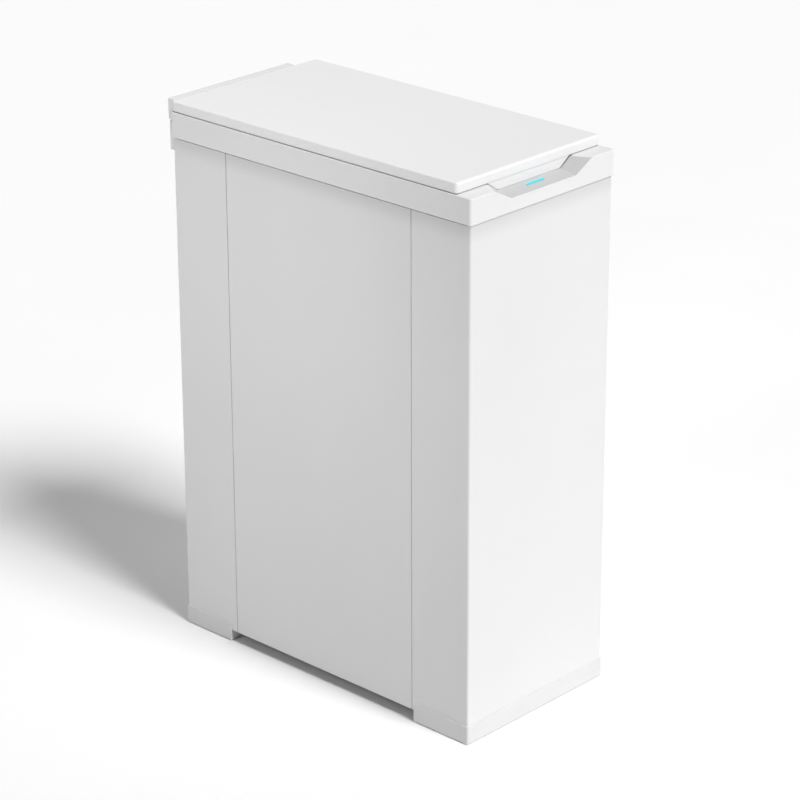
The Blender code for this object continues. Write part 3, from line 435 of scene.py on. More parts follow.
def sheet_metal(name, colour, rough=(0.30, 0.46)):
    """Zinc-plated sheet: soft spangle and a rolling direction."""
    material, nodes, links, shader = new_material(name)
    spangle = nodes.new("ShaderNodeTexVoronoi")
    spangle.inputs["Scale"].default_value = 90.0
    links.new(object_point(nodes, links, (1.0, 0.6, 1.0)), spangle.inputs["Vector"])
    grey = nodes.new("ShaderNodeRGBToBW")
    links.new(spangle.outputs["Color"], grey.inputs["Color"])
    tint(nodes, links, grey.outputs["Val"], shader, shaded(colour, 0.93), shaded(colour, 1.05), (0.0, 1.0))
    rolling = noise(nodes, links, 60.0, 5.0, (1.0, 0.06, 1.0))
    vary(nodes, links, rolling, shader.inputs["Roughness"], *rough)
    shader.inputs["Metallic"].default_value = 1.0
    bump(nodes, links, shader, [(rolling, 0.00002), (noise(nodes, links, 700.0, 2.0), 0.00001)])
    return material


def turned_metal(name, colour, rough=(0.18, 0.32), lines=(1.0, 0.03, 0.03)):
    """Machined bar stock: fine rings round its length."""
    material, nodes, links, shader = new_material(name)
    rings = noise(nodes, links, 1600.0, 4.0, lines)
    tint(nodes, links, rings, shader, shaded(colour, 0.94), shaded(colour, 1.04))
    vary(nodes, links, noise(nodes, links, 130.0, 4.0), shader.inputs["Roughness"], *rough)
    shader.inputs["Metallic"].default_value = 1.0
    bump(nodes, links, shader, [(rings, 0.00001)])
    return material


def rubber(name, colour):
    material, nodes, links, shader = new_material(name)
    tint(nodes, links, noise(nodes, links, 300.0, 4.0), shader, shaded(colour, 0.85), shaded(colour, 1.2))
    vary(nodes, links, noise(nodes, links, 80.0, 3.0), shader.inputs["Roughness"], 0.72, 0.88)
    bump(nodes, links, shader, [(noise(nodes, links, 900.0, 3.0), 0.00005)])
    return material


def light_lens(name):
    """Lit strip: an even cyan glow over a faintly mottled diffuser."""
    material, nodes, links, shader = new_material(name)
    glow = noise(nodes, links, 200.0, 1.0)
    tint(nodes, links, glow, shader, (0.006, 0.20, 0.23), (0.008, 0.24, 0.27))
    shader.inputs["Roughness"].default_value = 0.5
    shader.inputs["Specular IOR Level"].default_value = 0.15
    shader.inputs["Emission Color"].default_value = (0.012, 0.78, 0.88, 1.0)
    shader.inputs["Emission Strength"].default_value = 0.72
    return material


def circuit_board(name):
    material, nodes, links, shader = new_material(name)
    tracks = nodes.new("ShaderNodeTexBrick")
    tracks.inputs["Scale"].default_value = 160.0
    tracks.inputs["Mortar Size"].default_value = 0.012
    tracks.inputs["Color1"].default_value = (0.012, 0.11, 0.045, 1.0)
    tracks.inputs["Color2"].default_value = (0.015, 0.13, 0.05, 1.0)
    tracks.inputs["Mortar"].default_value = (0.05, 0.24, 0.10, 1.0)
    links.new(object_point(nodes, links), tracks.inputs["Vector"])
    links.new(tracks.outputs["Color"], shader.inputs["Base Color"])
    vary(nodes, links, noise(nodes, links, 90.0, 2.0), shader.inputs["Roughness"], 0.30, 0.42)
    return material


def charcoal(name):
    material, nodes, links, shader = new_material(name)
    granules = nodes.new("ShaderNodeTexVoronoi")
    granules.inputs["Scale"].default_value = 420.0
    links.new(object_point(nodes, links), granules.inputs["Vector"])
    tint(nodes, links, granules.outputs["Distance"], shader, (0.03, 0.03, 0.03), (0.008, 0.008, 0.008))
    shader.inputs["Roughness"].default_value = 0.95
    bump(nodes, links, shader, [(granules.outputs["Distance"], 0.0006)])
    return material


MATERIALS = {
    "white_plastic": moulded_plastic("white_moulding", (0.755, 0.755, 0.755)),
    # Housing: the white moulding with painted shade that darkens its top under the collar.
    "housing_white_painted_shade": housing_plastic_painted_shade("housing_moulding_painted_shade", (0.735, 0.735, 0.735)),
    # Feet: a darker copy of the white moulding, which paints the contact shade near the floor.
    "foot_white_painted_shade": moulded_plastic("foot_moulding_painted_shade", (0.695, 0.695, 0.695)),
    "lid_white": moulded_plastic("lid_moulding", (0.815, 0.815, 0.815), (0.36, 0.46), 0.00002, 0.008),
    # Pocket: the white moulding darkened to grey, which paints the shade inside the finger recess.
    "pocket_painted_shade": moulded_plastic("pocket_moulding", (0.55, 0.55, 0.55), (0.45, 0.58), 0.00005),
    "grey_plastic": moulded_plastic("grey_moulding", (0.40, 0.40, 0.41), (0.42, 0.56), 0.00005),
    "hinge_white": moulded_plastic("hinge_coating", (0.76, 0.76, 0.76), (0.42, 0.55), 0.00005),
    "dark_plastic": moulded_plastic("dark_moulding", (0.028, 0.028, 0.030), (0.40, 0.58), 0.00006, 0.08),
    "rubber": rubber("rubber", (0.045, 0.045, 0.045)),
    "sheet_metal": sheet_metal("plated_sheet", (0.60, 0.61, 0.63)),
    "steel": turned_metal("turned_steel", (0.62, 0.62, 0.63)),
    "brass": turned_metal("brass", (0.72, 0.53, 0.24), (0.25, 0.42), (0.05, 1.0, 1.0)),
    "circuit_board": circuit_board("circuit_board"),
    "light_lens": light_lens("light_lens"),
    "charcoal": charcoal("charcoal"),
}


# ---- shapes

def mesh_object(name, bm):
    mesh = bpy.data.meshes.new(name)
    bm.to_mesh(mesh)
    bm.free()
    return link(bpy.data.objects.new(name, mesh))


def slab(name, low, high, corner=0.0, top_edge=0.0, bottom_edge=0.0):
    """A box with round upright corners and round rims."""
    low = Vector(low)
    high = Vector(high)
    size = high - low
    bm = bmesh.new()
    bmesh.ops.create_cube(bm, size=1.0)
    bmesh.ops.scale(bm, vec=size, verts=bm.verts)
    if corner:
        uprights = [e for e in bm.edges if abs(e.verts[0].co.z - e.verts[1].co.z) > size.z / 2]
        bmesh.ops.bevel(bm, geom=uprights, offset=corner, segments=CORNER_STEPS, profile=0.5, affect="EDGES")
    for side, width in ((1, top_edge), (-1, bottom_edge)):
        if width:
            level = side * size.z / 2
            rim = [e for e in bm.edges if all(abs(v.co.z - level) < 1e-7 for v in e.verts)]
            bmesh.ops.bevel(bm, geom=rim, offset=width, segments=RIM_STEPS, profile=0.5, affect="EDGES")
    bmesh.ops.translate(bm, vec=(low + high) / 2, verts=bm.verts)
    return mesh_object(name, bm)


def cutter(start, end, bottom=-FAR, top=FAR):
    """An endless slab between two places along Y, in either order."""
    near, deep = sorted((start, end))
    return slab("cutter", (-FAR, near, bottom), (FAR, deep, top))


def pointing(place, direction):
    """A matrix at a place whose Z axis points along a direction."""
    return Matrix.Translation(place) @ Vector(direction).to_track_quat("Z", "Y").to_matrix().to_4x4()


def turned(name, profile, place, steps=32):
    """A turned shape: (radius, height) pairs round the Z axis of a matrix."""
    bm = bmesh.new()
    angles = [2 * math.pi * k / steps for k in range(steps)]
    rings = []
    for radius, height in profile:
        ring = [place @ Vector((radius * math.cos(t), radius * math.sin(t), height)) for t in angles]
        rings.append([bm.verts.new(point) for point in ring])
    for lower, upper in zip(rings, rings[1:]):
        for k in range(steps):
            after = (k + 1) % steps
            bm.faces.new((lower[k], lower[after], upper[after], upper[k]))
    if profile[0] == profile[-1]:
        bmesh.ops.remove_doubles(bm, verts=bm.verts, dist=1e-7)
    else:
        bm.faces.new(rings[0])
        bm.faces.new(rings[-1])
    bmesh.ops.recalc_face_normals(bm, faces=bm.faces)
    return mesh_object(name, bm)


def washer(name, place, inner, outer, thickness):
    """A flat ring with broken edges that stands on the X-Y plane of a matrix."""
    edge = thickness * 0.25
    profile = [(inner, 0), (outer - edge, 0), (outer, edge), (outer, thickness - edge),
               (outer - edge, thickness), (inner, thickness), (inner, 0)]
    return turned(name, profile, place)


def rounded(outline, radii):
    """An outline whose corners are replaced by short curves; a radius of 0 keeps a corner."""
    points = [Vector(p) for p in outline]
    result = []
    for k, (corner, radius) in enumerate(zip(points, radii)):
        if not radius:
            result.append(tuple(corner))
            continue
        start = corner + (points[k - 1] - corner).normalized() * radius
        end = corner + (points[(k + 1) % len(points)] - corner).normalized() * radius
        for step in range(CURVE_STEPS + 1):
            t = step / CURVE_STEPS
            point = start * (1 - t) ** 2 + corner * (2 * t * (1 - t)) + end * t ** 2
            result.append(tuple(point))
    return result


def prism(name, outline, start, end, axis="Y"):
    """An outline pushed along an axis: X-Z pairs along Y, or Y-Z pairs along X."""
    bm = bmesh.new()
    if axis == "Y":
        corners = [(a, start, b) for a, b in outline]
        push = Vector((0, end - start, 0))
    else:
        corners = [(start, a, b) for a, b in outline]
        push = Vector((end - start, 0, 0))
    face = bm.faces.new([bm.verts.new(corner) for corner in corners])
    pushed = bmesh.ops.extrude_face_region(bm, geom=[face])
    moved = [item for item in pushed["geom"] if isinstance(item, bmesh.types.BMVert)]
    bmesh.ops.translate(bm, vec=push, verts=moved)
    bmesh.ops.recalc_face_normals(bm, faces=bm.faces)
    return mesh_object(name, bm)


def loft(name, first, start, last, end):
    """Two X-Z outlines of as many points each, joined along Y."""
    bm = bmesh.new()
    near = [bm.verts.new((x, start, z)) for x, z in first]
    far = [bm.verts.new((x, end, z)) for x, z in last]
    for k in range(len(near)):
        bm.faces.new((near[k - 1], near[k], far[k], far[k - 1]))
    bm.faces.new(near)
    bm.faces.new(far)
    bmesh.ops.recalc_face_normals(bm, faces=bm.faces)
    return mesh_object(name, bm)


def settle(obj):
    """Apply the modifiers to the mesh."""
    bpy.context.view_layer.update()
    evaluated = obj.evaluated_get(bpy.context.evaluated_depsgraph_get())
    mesh = bpy.data.meshes.new_from_object(evaluated)
    obj.modifiers.clear()
    obj.data = mesh
    return obj


def combine(target, tools, operation):
    for tool in tools:
        modifier = target.modifiers.new("boolean", "BOOLEAN")
        modifier.object = tool
        modifier.operation = operation
        settle(target)
        bpy.data.objects.remove(tool, do_unlink=True)
    return target


def carve(target, *tools):
    return combine(target, tools, "DIFFERENCE")


def weld_on(target, *tools):
    return combine(target, tools, "UNION")


def copies(name, source, places):
    """One object that holds a copy of the source at each matrix; the source goes."""
    bm = bmesh.new()
    for place in places:
        mesh = source.data.copy()
        mesh.transform(place)
        bm.from_mesh(mesh)
        bpy.data.meshes.remove(mesh)
    bpy.data.objects.remove(source, do_unlink=True)
    return mesh_object(name, bm)


def gathered(name, sources):
    """One object that holds every source."""
    bm = bmesh.new()
    for source in sources:
        bm.from_mesh(source.data)
        bpy.data.objects.remove(source, do_unlink=True)
    return mesh_object(name, bm)


def soften(obj, width, steps=3):
    """Round the sharp edges by width and shade smooth."""
    modifier = obj.modifiers.new("edges", "BEVEL")
    modifier.width = width
    modifier.segments = steps
    modifier.limit_method = "ANGLE"
    modifier.angle_limit = BEVEL_ANGLE
    obj.data.shade_smooth()
    return obj


def weigh_normals(obj):
    """Let the big faces keep their own normals, so that only the edges shade round."""
    modifier = obj.modifiers.new("normals", "WEIGHTED_NORMAL")
    modifier.keep_sharp = True


def paint(obj, look):
    obj.data.materials.clear()
    obj.data.materials.append(MATERIALS[look])


def finish_piece(obj, body, slot, replaces=(), look=None):
    """Paint a piece with its look or its slot's material, put it on its body, and note and hide the CAD
    nodes it replaces.
    """
    paint(obj, look or slot)
    if not obj.modifiers:
        obj.data.shade_smooth()
        obj.data.set_sharp_from_angle(angle=SHARP_ANGLE)
    weigh_normals(obj)
    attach(obj, body)
    if replaces:
        REPLACED.update(replaces)
        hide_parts(*replaces)
    return obj


def screws(name, places, radius, body, slot="steel"):
    """Cross-head screws, one at each matrix, whose Z points out of the surface."""
    rise = radius * 0.5
    profile = [(radius, 0), (radius, rise * 0.35), (radius * 0.88, rise * 0.72), (radius * 0.6, rise * 0.94),
               (radius * 0.2, rise)]
    head = turned("screw_head", profile, Matrix())
    arm = radius * 0.6
    half = radius * 0.13
    low = rise * 0.4
    carve(head, slab("cross", (-arm, -half, low), (arm, half, FAR)),
          slab("cross", (-half, -arm, low), (half, arm, FAR)))
    return finish_piece(copies(name, head, places), body, slot)


# ---- housing

def make_shell(node, foot, end):
    """U-shaped skin; its seam and the notch over its foot are read off the frame."""
    low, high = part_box(node)
    foot_low, foot_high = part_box(foot)
    middle = (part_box("left_side_panel")[0].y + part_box("left_side_panel")[1].y) / 2
    outer = low.y if end < 0 else high.y
    near, deep = sorted((outer, 2 * middle - outer))
    skin = slab(node + "_skin", (low.x, near, low.z), (high.x, deep, high.z - FIT), CORNER)
    inside = slab("inside", (low.x + WALL, near + WALL, 0), (high.x - WALL, deep - WALL, FAR))
    seam = (high.y if end < 0 else low.y) + end * SEAM_INSET
    rest = cutter(seam, -end * FAR)
    foot_end = foot_high.y if end < 0 else foot_low.y
    over_foot = cutter(foot_end - end * FIT, end * FAR, top=foot_high.z - FOOT_PROUD)
    above_sides = cutter(outer - end * 2 * WALL, middle, bottom=high.z - SHELL_DROP)
    return carve(skin, inside, rest, over_foot, above_sides)


def make_shells():
    # The shells wear the moulding with painted shade under the collar.
    front = soften(make_shell("front_shell", "front_foot", -1), SEAM_EDGE)
    finish_piece(front, "housing", "white_plastic", ["front_shell"], "housing_white_painted_shade")
    rear = make_shell("rear_shell", "rear_foot", 1)
    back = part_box("rear_shell")[1].y
    for node in ("power_inlet", "switch_frame"):
        low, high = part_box(node)
        window = slab("window", (low.x - FIT, back - BACK_CUT, low.z - FIT),
                      (high.x + FIT, FAR, high.z + FIT))
        carve(rear, window)
    for row in range(VENT_ROWS):
        height = VENT_BOTTOM + row * VENT_PITCH
        slot = slab("slot", (-VENT_HALF, back - BACK_CUT, height),
                    (VENT_HALF, back + BACK_CUT, height + VENT_SLOT))
        carve(rear, settle(soften(slot, VENT_SLOT * 0.45, 4)))
    finish_piece(soften(rear, SEAM_EDGE), "housing", "white_plastic", ["rear_shell"], "housing_white_painted_shade")


def make_side_panels():
    for node in ("left_side_panel", "right_side_panel"):
        low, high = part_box(node)
        inset = Vector((0, SEAM_INSET, 0))
        panel = slab(node + "_skin", low + inset, high - inset - Vector((0, 0, SHELL_DROP)))
        # The side panels wear the moulding with painted shade under the collar.
        finish_piece(soften(panel, SEAM_EDGE), "housing", "white_plastic", [node], "housing_white_painted_shade")


def make_feet():
    for node, end in (("front_foot", -1), ("rear_foot", 1)):
        low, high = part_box(node)
        inner = high.y if end < 0 else low.y
        outer = low.y if end < 0 else high.y
        near, deep = sorted((outer + end * FOOT_PROUD, outer - end * FOOT_BLANK))
        foot = slab(node + "_block", (low.x - FOOT_PROUD, near, low.z), (high.x + FOOT_PROUD, deep, high.z),
                    CORNER, FOOT_TOP_EDGE)
        rest = cutter(inner, inner - end * FAR)
        hollow_near, hollow_deep = sorted((inner + end * FOOT_WALL, outer - end * FOOT_WALL))
        hollow = slab("hollow", (-FOOT_HOLLOW_HALF, hollow_near, -FAR),
                      (FOOT_HOLLOW_HALF, hollow_deep, FOOT_HOLLOW_TOP),
                      FOOT_HOLLOW_CORNER, FOOT_HOLLOW_EDGE)
        carve(foot, rest, hollow)
        pads = [f"{node.split('_')[0]}_{side}_foot_pad" for side in ("left", "right")]
        for pad in pads:
            centre, radius = round_of(pad)
            seat_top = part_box(pad)[1].z + FIT
            carve(foot, turned("seat", [(radius + FIT, -FAR), (radius + FIT, seat_top)], upright(centre)))
            make_pad(pad, centre, radius)
        # The feet's darker colour is painted contact shade near the floor.
        finish_piece(soften(foot, SEAM_EDGE), "housing", "white_plastic", [node], "foot_white_painted_shade")


def upright(centre):
    return Matrix.Translation((centre.x, centre.y, 0))


def round_of(node):
    low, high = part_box(node)
    return (low + high) / 2, (high.x - low.x) / 2


def make_pad(node, centre, radius):
    """Rubber disc with a chamfered rim and two rings pressed into its sole."""
    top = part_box(node)[1].z
    profile = [(radius * 0.1, 0)]
    for groove in PAD_GROOVES:
        profile += [(radius * (groove - 0.05), 0), (radius * (groove - 0.03), PAD_GROOVE_DEPTH),
                    (radius * (groove + 0.03), PAD_GROOVE_DEPTH), (radius * (groove + 0.05), 0)]
    profile += [(radius - PAD_CHAMFER, 0), (radius, PAD_CHAMFER), (radius, top)]
    finish_piece(turned(node + "_disc", profile, upright(centre)), "housing", "rubber", [node])


def make_base_beads():
    """Pressed beads and screws on the underside of the base pan."""
    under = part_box("base_pan")[0].z
    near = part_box("front_foot")[1].y
    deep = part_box("rear_foot")[0].y
    beads = []
    for x in BASE_BEADS_X:
        bead = slab("bead", (x - BEAD_HALF, near + BASE_BEAD_END, under - BEAD_RISE),
                    (x + BEAD_HALF, deep - BASE_BEAD_END, under + MM), BEAD_CORNER, 0, MM)
        beads.append(bead)
    finish_piece(gathered("base_pan_beads", beads), "housing", "sheet_metal")
    places = [pointing((x, y, under), (0, 0, -1)) for x in (-PANEL_SCREW_X, PANEL_SCREW_X)
              for y in (near + BASE_SCREW_END, (near + deep) / 2, deep - BASE_SCREW_END)]
    screws("base_pan_screws", places, PANEL_SCREW, "housing")


def recess_floor():
    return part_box("grip_pocket")[0].z + RECESS_WALL


def recess_outline(right, left, bottom):
    """The recess seen from the front: level floor, slopes, and a soft turn onto the collar's top.

    Right and left are its half-widths at the floor and at the collar's top."""
    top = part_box("collar")[1].z + RECESS_OVER
    corners = []
    for side, (at_floor, at_top) in ((1, right), (-1, left)):
        corners.append([(side * at_floor, bottom), (side * at_top, top), (side * (at_top + RECESS_EAR), top),
                        (side * (at_top + RECESS_EAR), top + RECESS_EAR_RISE)])
    return rounded(corners[0] + corners[1][::-1], RECESS_RADII + RECESS_RADII[::-1])


def recess_front(margin=0.0):
    halves = (RECESS_FLOOR_HALF + 2 * margin, RECESS_TOP_HALF + 2 * margin)
    return recess_outline(halves, halves, recess_floor() - margin)


def recess_flange(name, start, end):
    """The recess's front edge, a little wider all round, up to the skin that covers the pocket."""
    block = prism(name, recess_front(POCKET_FLANGE), start, end)
    return carve(block, cutter(-FAR, FAR, bottom=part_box("collar")[1].z - POCKET_COVER))


def lip_front():
    """Where the lip's face stands."""
    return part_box("lid_grip_lip")[0].y + LIP_SET_BACK


def make_scoop():
    """Cutter for the recess, which narrows from the collar's front to the lip."""
    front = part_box("collar")[0].y
    low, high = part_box("lid_grip_lip")
    rise = (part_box("collar")[1].z - low.z) / (high.z - low.z)
    at_top = LIP_BOTTOM_HALF + (high.x - LIP_BOTTOM_HALF) * rise
    right = (LIP_BOTTOM_HALF + LIP_GAP_RIGHT, at_top + LIP_GAP_RIGHT)
    left = (LIP_BOTTOM_HALF + LIP_GAP_LEFT, at_top + LIP_GAP_LEFT)
    narrow = recess_outline(right, left, recess_floor() + RECESS_RISE)
    return loft("scoop", recess_front(), front - FIT, narrow, lip_front())


def make_collar():
    low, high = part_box("collar")
    collar = slab("collar_moulding", low, high, COLLAR_CORNER, COLLAR_EDGE)
    mouth_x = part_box("right_frame_panel")[0].x
    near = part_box("front_frame_panel")[1].y
    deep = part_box("rear_bulkhead")[0].y
    mouth = slab("mouth", (-mouth_x, near, 0), (mouth_x, deep, FAR), MOUTH_CORNER)
    hollow = slab("hollow", (low.x + COLLAR_WALL, low.y + COLLAR_WALL, low.z - WALL),
                  (high.x - COLLAR_WALL, high.y - COLLAR_WALL, high.z - COLLAR_WALL))
    core = slab("core", (-mouth_x - WALL, near - WALL, 0), (mouth_x + WALL, deep + WALL, FAR))
    carve(hollow, core)
    notch = recess_flange("notch", low.y - FIT, low.y + COLLAR_WALL + FIT)
    pocket_low, pocket_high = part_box("grip_pocket")
    well = slab("well", (pocket_low.x - FIT, low.y + COLLAR_WALL, high.z - 2 * COLLAR_WALL),
                (pocket_high.x + FIT, near - WALL, high.z - POCKET_COVER))
    lip_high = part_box("lid_grip_lip")[1]
    lip_way = slab("lip_way", (-lip_high.x - FIT, lip_front() - MM, high.z - COLLAR_WALL),
                   (lip_high.x + LIP_GAP_RIGHT, lip_high.y + FIT, FAR))
    carve(collar, mouth, hollow, notch, well, make_scoop(), lip_way)
    bolt_low, bolt_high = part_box("lock_bolt")
    bolt_hole = slab("bolt_hole", (bolt_low.x - FIT, near - 2 * WALL, bolt_low.z - FIT),
                     (bolt_high.x + FIT, near + WALL, bolt_high.z + FIT))
    carve(collar, bolt_hole)
    lid_low, lid_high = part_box("lid_cover")
    for side in (-1, 1):
        inner, outer = sorted((side * (lid_high.x - GROOVE_WIDTH), side * (lid_high.x - GROOVE_INSET)))
        groove = slab("groove", (inner, lid_low.y + GROOVE_FRONT, high.z - GROOVE_DEPTH),
                      (outer, lid_high.y, FAR))
        carve(collar, groove)
    finish_piece(soften(collar, 0.5 * MM), "housing", "white_plastic", ["collar"])


def make_pocket():
    """Trough of the recess: its floor rises to the lip, and its back wall has a bay that takes the lip."""
    low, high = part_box("grip_pocket")
    lip_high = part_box("lid_grip_lip")[1]
    collar_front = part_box("collar")[0].y
    face = lip_front()
    step = recess_floor() + RECESS_RISE
    rim = prism("rim", bay_outline(step, LIP_GAP_LEFT, LIP_GAP_RIGHT), face - MM, face + 2 * BAY_RIM)
    deep = min(lip_high.y + BAY_DEPTH, high.y - RECESS_WALL)
    bay = prism("bay", bay_outline(step, LIP_GAP_LEFT, BAY_SIDE), face + BAY_RIM, deep)
    pocket = slab("pocket_moulding", low, high - Vector((0, 0, POCKET_COVER)), POCKET_CORNER)
    weld_on(pocket, recess_flange("flange", collar_front + FIT, low.y + MM))
    carve(pocket, make_scoop(), rim, bay)
    # The pocket's grey colour is painted shade of the recess.
    finish_piece(soften(pocket, 0.15 * MM), "housing", "white_plastic", ["grip_pocket"], "pocket_painted_shade")
    make_light(recess_floor(), collar_front, face)


def bay_outline(bottom, gap_left, gap_right):
    """The lip seen from the front, with a gap at each side."""
    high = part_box("lid_grip_lip")[1]
    return [(LIP_BOTTOM_HALF + gap_right, bottom), (high.x + gap_right, high.z),
            (-high.x - gap_left, high.z), (-LIP_BOTTOM_HALF - gap_left, bottom)]


def make_light(floor, front, rear):
    """Pill-shaped lens that lies on the slope of the recess floor, in a thin bezel."""
    low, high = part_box("status_light")
    centre = (low + high) / 2
    slope = math.atan2(RECESS_RISE, rear - front)
    on_floor = floor + math.tan(slope) * (centre.y - front)
    half = Vector(((high.x - low.x) / 2, LENS_HALF_DEEP, 0))
    place = Matrix.Translation((centre.x, centre.y, on_floor)) @ Matrix.Rotation(slope, 4, "X")
    for name, margin, base, rise, slot in (("status_lens", 0, LENS_BASE, LENS_RISE, "light_lens"),
                                           ("status_bezel", BEZEL_MARGIN, 0, BEZEL_RISE, "white_plastic")):
        reach = half + Vector((margin, margin, 0))
        pill = slab(name, -reach + Vector((0, 0, base)), reach + Vector((0, 0, base + rise)),
                    reach.y * 0.96, rise * 0.5)
        pill.data.transform(place)
        node = ["status_light"] if slot == "light_lens" else []
        # The bezel takes the pocket's grey, which paints the shade of the recess.
        finish_piece(pill, "housing", slot, node, None if node else "pocket_painted_shade")


def make_hinge_plates():
    for node in ("body_hinge_plate", "lid_hinge_plate"):
        dress_node(node, "hinge_white", 3)
    low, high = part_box("body_hinge_plate")
    level = low.z + HINGE_RISE
    places = [pointing((low.x + (high.x - low.x) * share, high.y, level), (0, 1, 0))
              for share in HINGE_SHARES]
    screws("body_hinge_screws", places, HINGE_SCREW, "housing")


# ---- back

def make_back():
    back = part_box("rear_shell")[1].y
    places = [pointing((x, back, z), (0, 1, 0)) for x in (-PANEL_SCREW_X, PANEL_SCREW_X)
              for z in BACK_SCREW_Z]
    screws("rear_shell_screws", places, PANEL_SCREW, "housing")
    rings = washer("screw_seat", Matrix(), *SCREW_SEAT)
    finish_piece(copies("rear_screw_seats", rings, places), "housing", "white_plastic")
    make_inlet()
    make_switch()


def make_inlet():
    """Appliance inlet: rounded body, socket, and three blades."""
    low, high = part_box("power_inlet")
    centre = (low + high) / 2
    body = slab("inlet_body", low, high)
    settle(soften(body, INLET_ROUND, 4))
    socket = slab("socket", (centre.x - SOCKET_HALF_WIDE, high.y - SOCKET_DEEP, centre.z - SOCKET_HALF_TALL),
                  (centre.x + SOCKET_HALF_WIDE, FAR, centre.z + SOCKET_HALF_TALL))
    carve(body, settle(soften(socket, SOCKET_ROUND, 4)))
    finish_piece(body, "housing", "dark_plastic", ["power_inlet"])
    blades = []
    for x, z in BLADES:
        blade = slab("blade", (centre.x + x - MM, high.y - BLADE_FROM, centre.z + z - 2 * MM),
                     (centre.x + x + MM, high.y - BLADE_TO, centre.z + z + 2 * MM))
        blades.append(settle(soften(blade, 0.7 * MM)))
    finish_piece(gathered("inlet_blades", blades), "housing", "steel")


def make_switch():
    """Soft edges on the rocker and its frame, and two plain marks on the rocker."""
    dress_node("switch_frame", None, 3)
    dress_node("power_switch", None, 3)
    low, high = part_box("power_switch")
    centre = (low + high) / 2
    face = Matrix.Translation(centre) @ Matrix.Rotation(-SWITCH_TILT, 4, "X")
    face = face @ Matrix.Translation((0, ROCKER_HALF_DEEP, 0)) @ Matrix.Rotation(math.radians(-90), 4, "X")
    ring = washer("ring", face @ Matrix.Translation((0, RING_MARK_AT, -MARK_SINK)), *RING_MARK)
    line = slab("line", (-LINE_MARK_HALF, LINE_MARK_FROM, -MARK_SINK),
                (LINE_MARK_HALF, LINE_MARK_TO, 2 * MARK_SINK))
    line.data.transform(face)
    finish_piece(gathered("rocker_marks", [ring, line]), "rocker", "white_plastic")


# ---- lid

def make_lid():
    low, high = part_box("lid_cover")
    skirt = low.z - SKIRT_DROP
    cover = slab("lid_moulding", (low.x, low.y, skirt), high, LID_CORNER, LID_EDGE)
    inside = slab("inside", (low.x + LID_WALL, low.y + LID_WALL, 0),
                  (high.x - LID_WALL, high.y - LID_WALL, high.z - LID_WALL), 1.0 * MM)
    carve(cover, inside, front_fillet(low.y, high.z))
    finish_piece(soften(cover, 0.4 * MM), "lid", "white_plastic", ["lid_cover"], "lid_white")
    low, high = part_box("lid_grip_lip")
    bottom = low.z - LIP_REACH
    top = skirt + LIP_DROP
    outline = [(LIP_BOTTOM_HALF, bottom), (high.x, top), (-high.x, top), (-LIP_BOTTOM_HALF, bottom)]
    lip = prism("lid_lip", rounded(outline, [LIP_CORNER, 0, 0, LIP_CORNER]), lip_front(), high.y)
    finish_piece(soften(lip, 0.5 * MM), "lid", "white_plastic", ["lid_grip_lip"], "lid_white")
    make_lid_underside()


def front_fillet(front, top):
    """Cutter that rounds the lid's top front edge."""
    radius = LID_FRONT_FILLET
    outline = [(front - MM, top - radius), (front - MM, top + MM), (front + radius, top + MM)]
    for step in range(FILLET_STEPS + 1):
        angle = math.radians(90 + 90 * step / FILLET_STEPS)
        outline.append((front + radius + radius * math.cos(angle), top - radius + radius * math.sin(angle)))
    return prism("front_fillet", outline, -FAR, FAR, "X")


def make_lid_underside():
    low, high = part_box("press_head")
    under = high.z - HEAD_FLANGE
    places = [pointing((side * HEAD_SCREW_X, low.y + (high.y - low.y) * share, under), (0, 0, -1))
              for side in (-1, 1) for share in HEAD_SHARES]
    screws("press_head_screws", places, HEAD_SCREW, "lid")


# ---- bin

def make_bin_details():
    """Upright flutes inside the bin, and two tabs that lift the bag ring."""
    low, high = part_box("bin")
    wall_x = high.x - BIN_FLANGE - WALL
    wall_near = low.y + BIN_FLANGE + WALL
    wall_deep = high.y - BIN_FLANGE - WALL
    bottom = low.z + FLUTE_BOTTOM
    top = high.z - FLUTE_TOP
    flutes = []
    for side in (-1, 1):
        for k in range(SIDE_FLUTES):
            y = wall_near + (wall_deep - wall_near) * (k + 1) / (SIDE_FLUTES + 1)
            near, deep = sorted((side * (wall_x - FLUTE_RISE), side * (wall_x + MM)))
            flutes.append(slab("flute", (near, y - FLUTE_HALF, bottom), (deep, y + FLUTE_HALF, top)))
    for wall, side in ((wall_near, 1), (wall_deep, -1)):
        for x in END_FLUTES_X:
            near, deep = sorted((wall - side * MM, wall + side * FLUTE_RISE))
            flutes.append(slab("flute", (x - FLUTE_HALF, near, bottom), (x + FLUTE_HALF, deep, top)))
    ribs = gathered("bin_flutes", flutes)
    finish_piece(soften(ribs, 0.6 * MM, 2), "housing", "grey_plastic")
    low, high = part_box("bag_ring")
    tabs = []
    for side in (-1, 1):
        x = side * (high.x - TAB_INSET)
        tab = slab("tab", (x - TAB_HALF, TAB_FROM, high.z - MM), (x + TAB_HALF, TAB_TO, high.z + TAB_RISE),
                   1.4 * MM, 0.8 * MM)
        tabs.append(tab)
    finish_piece(gathered("bag_ring_tabs", tabs), "housing", "white_plastic")


# ---- press

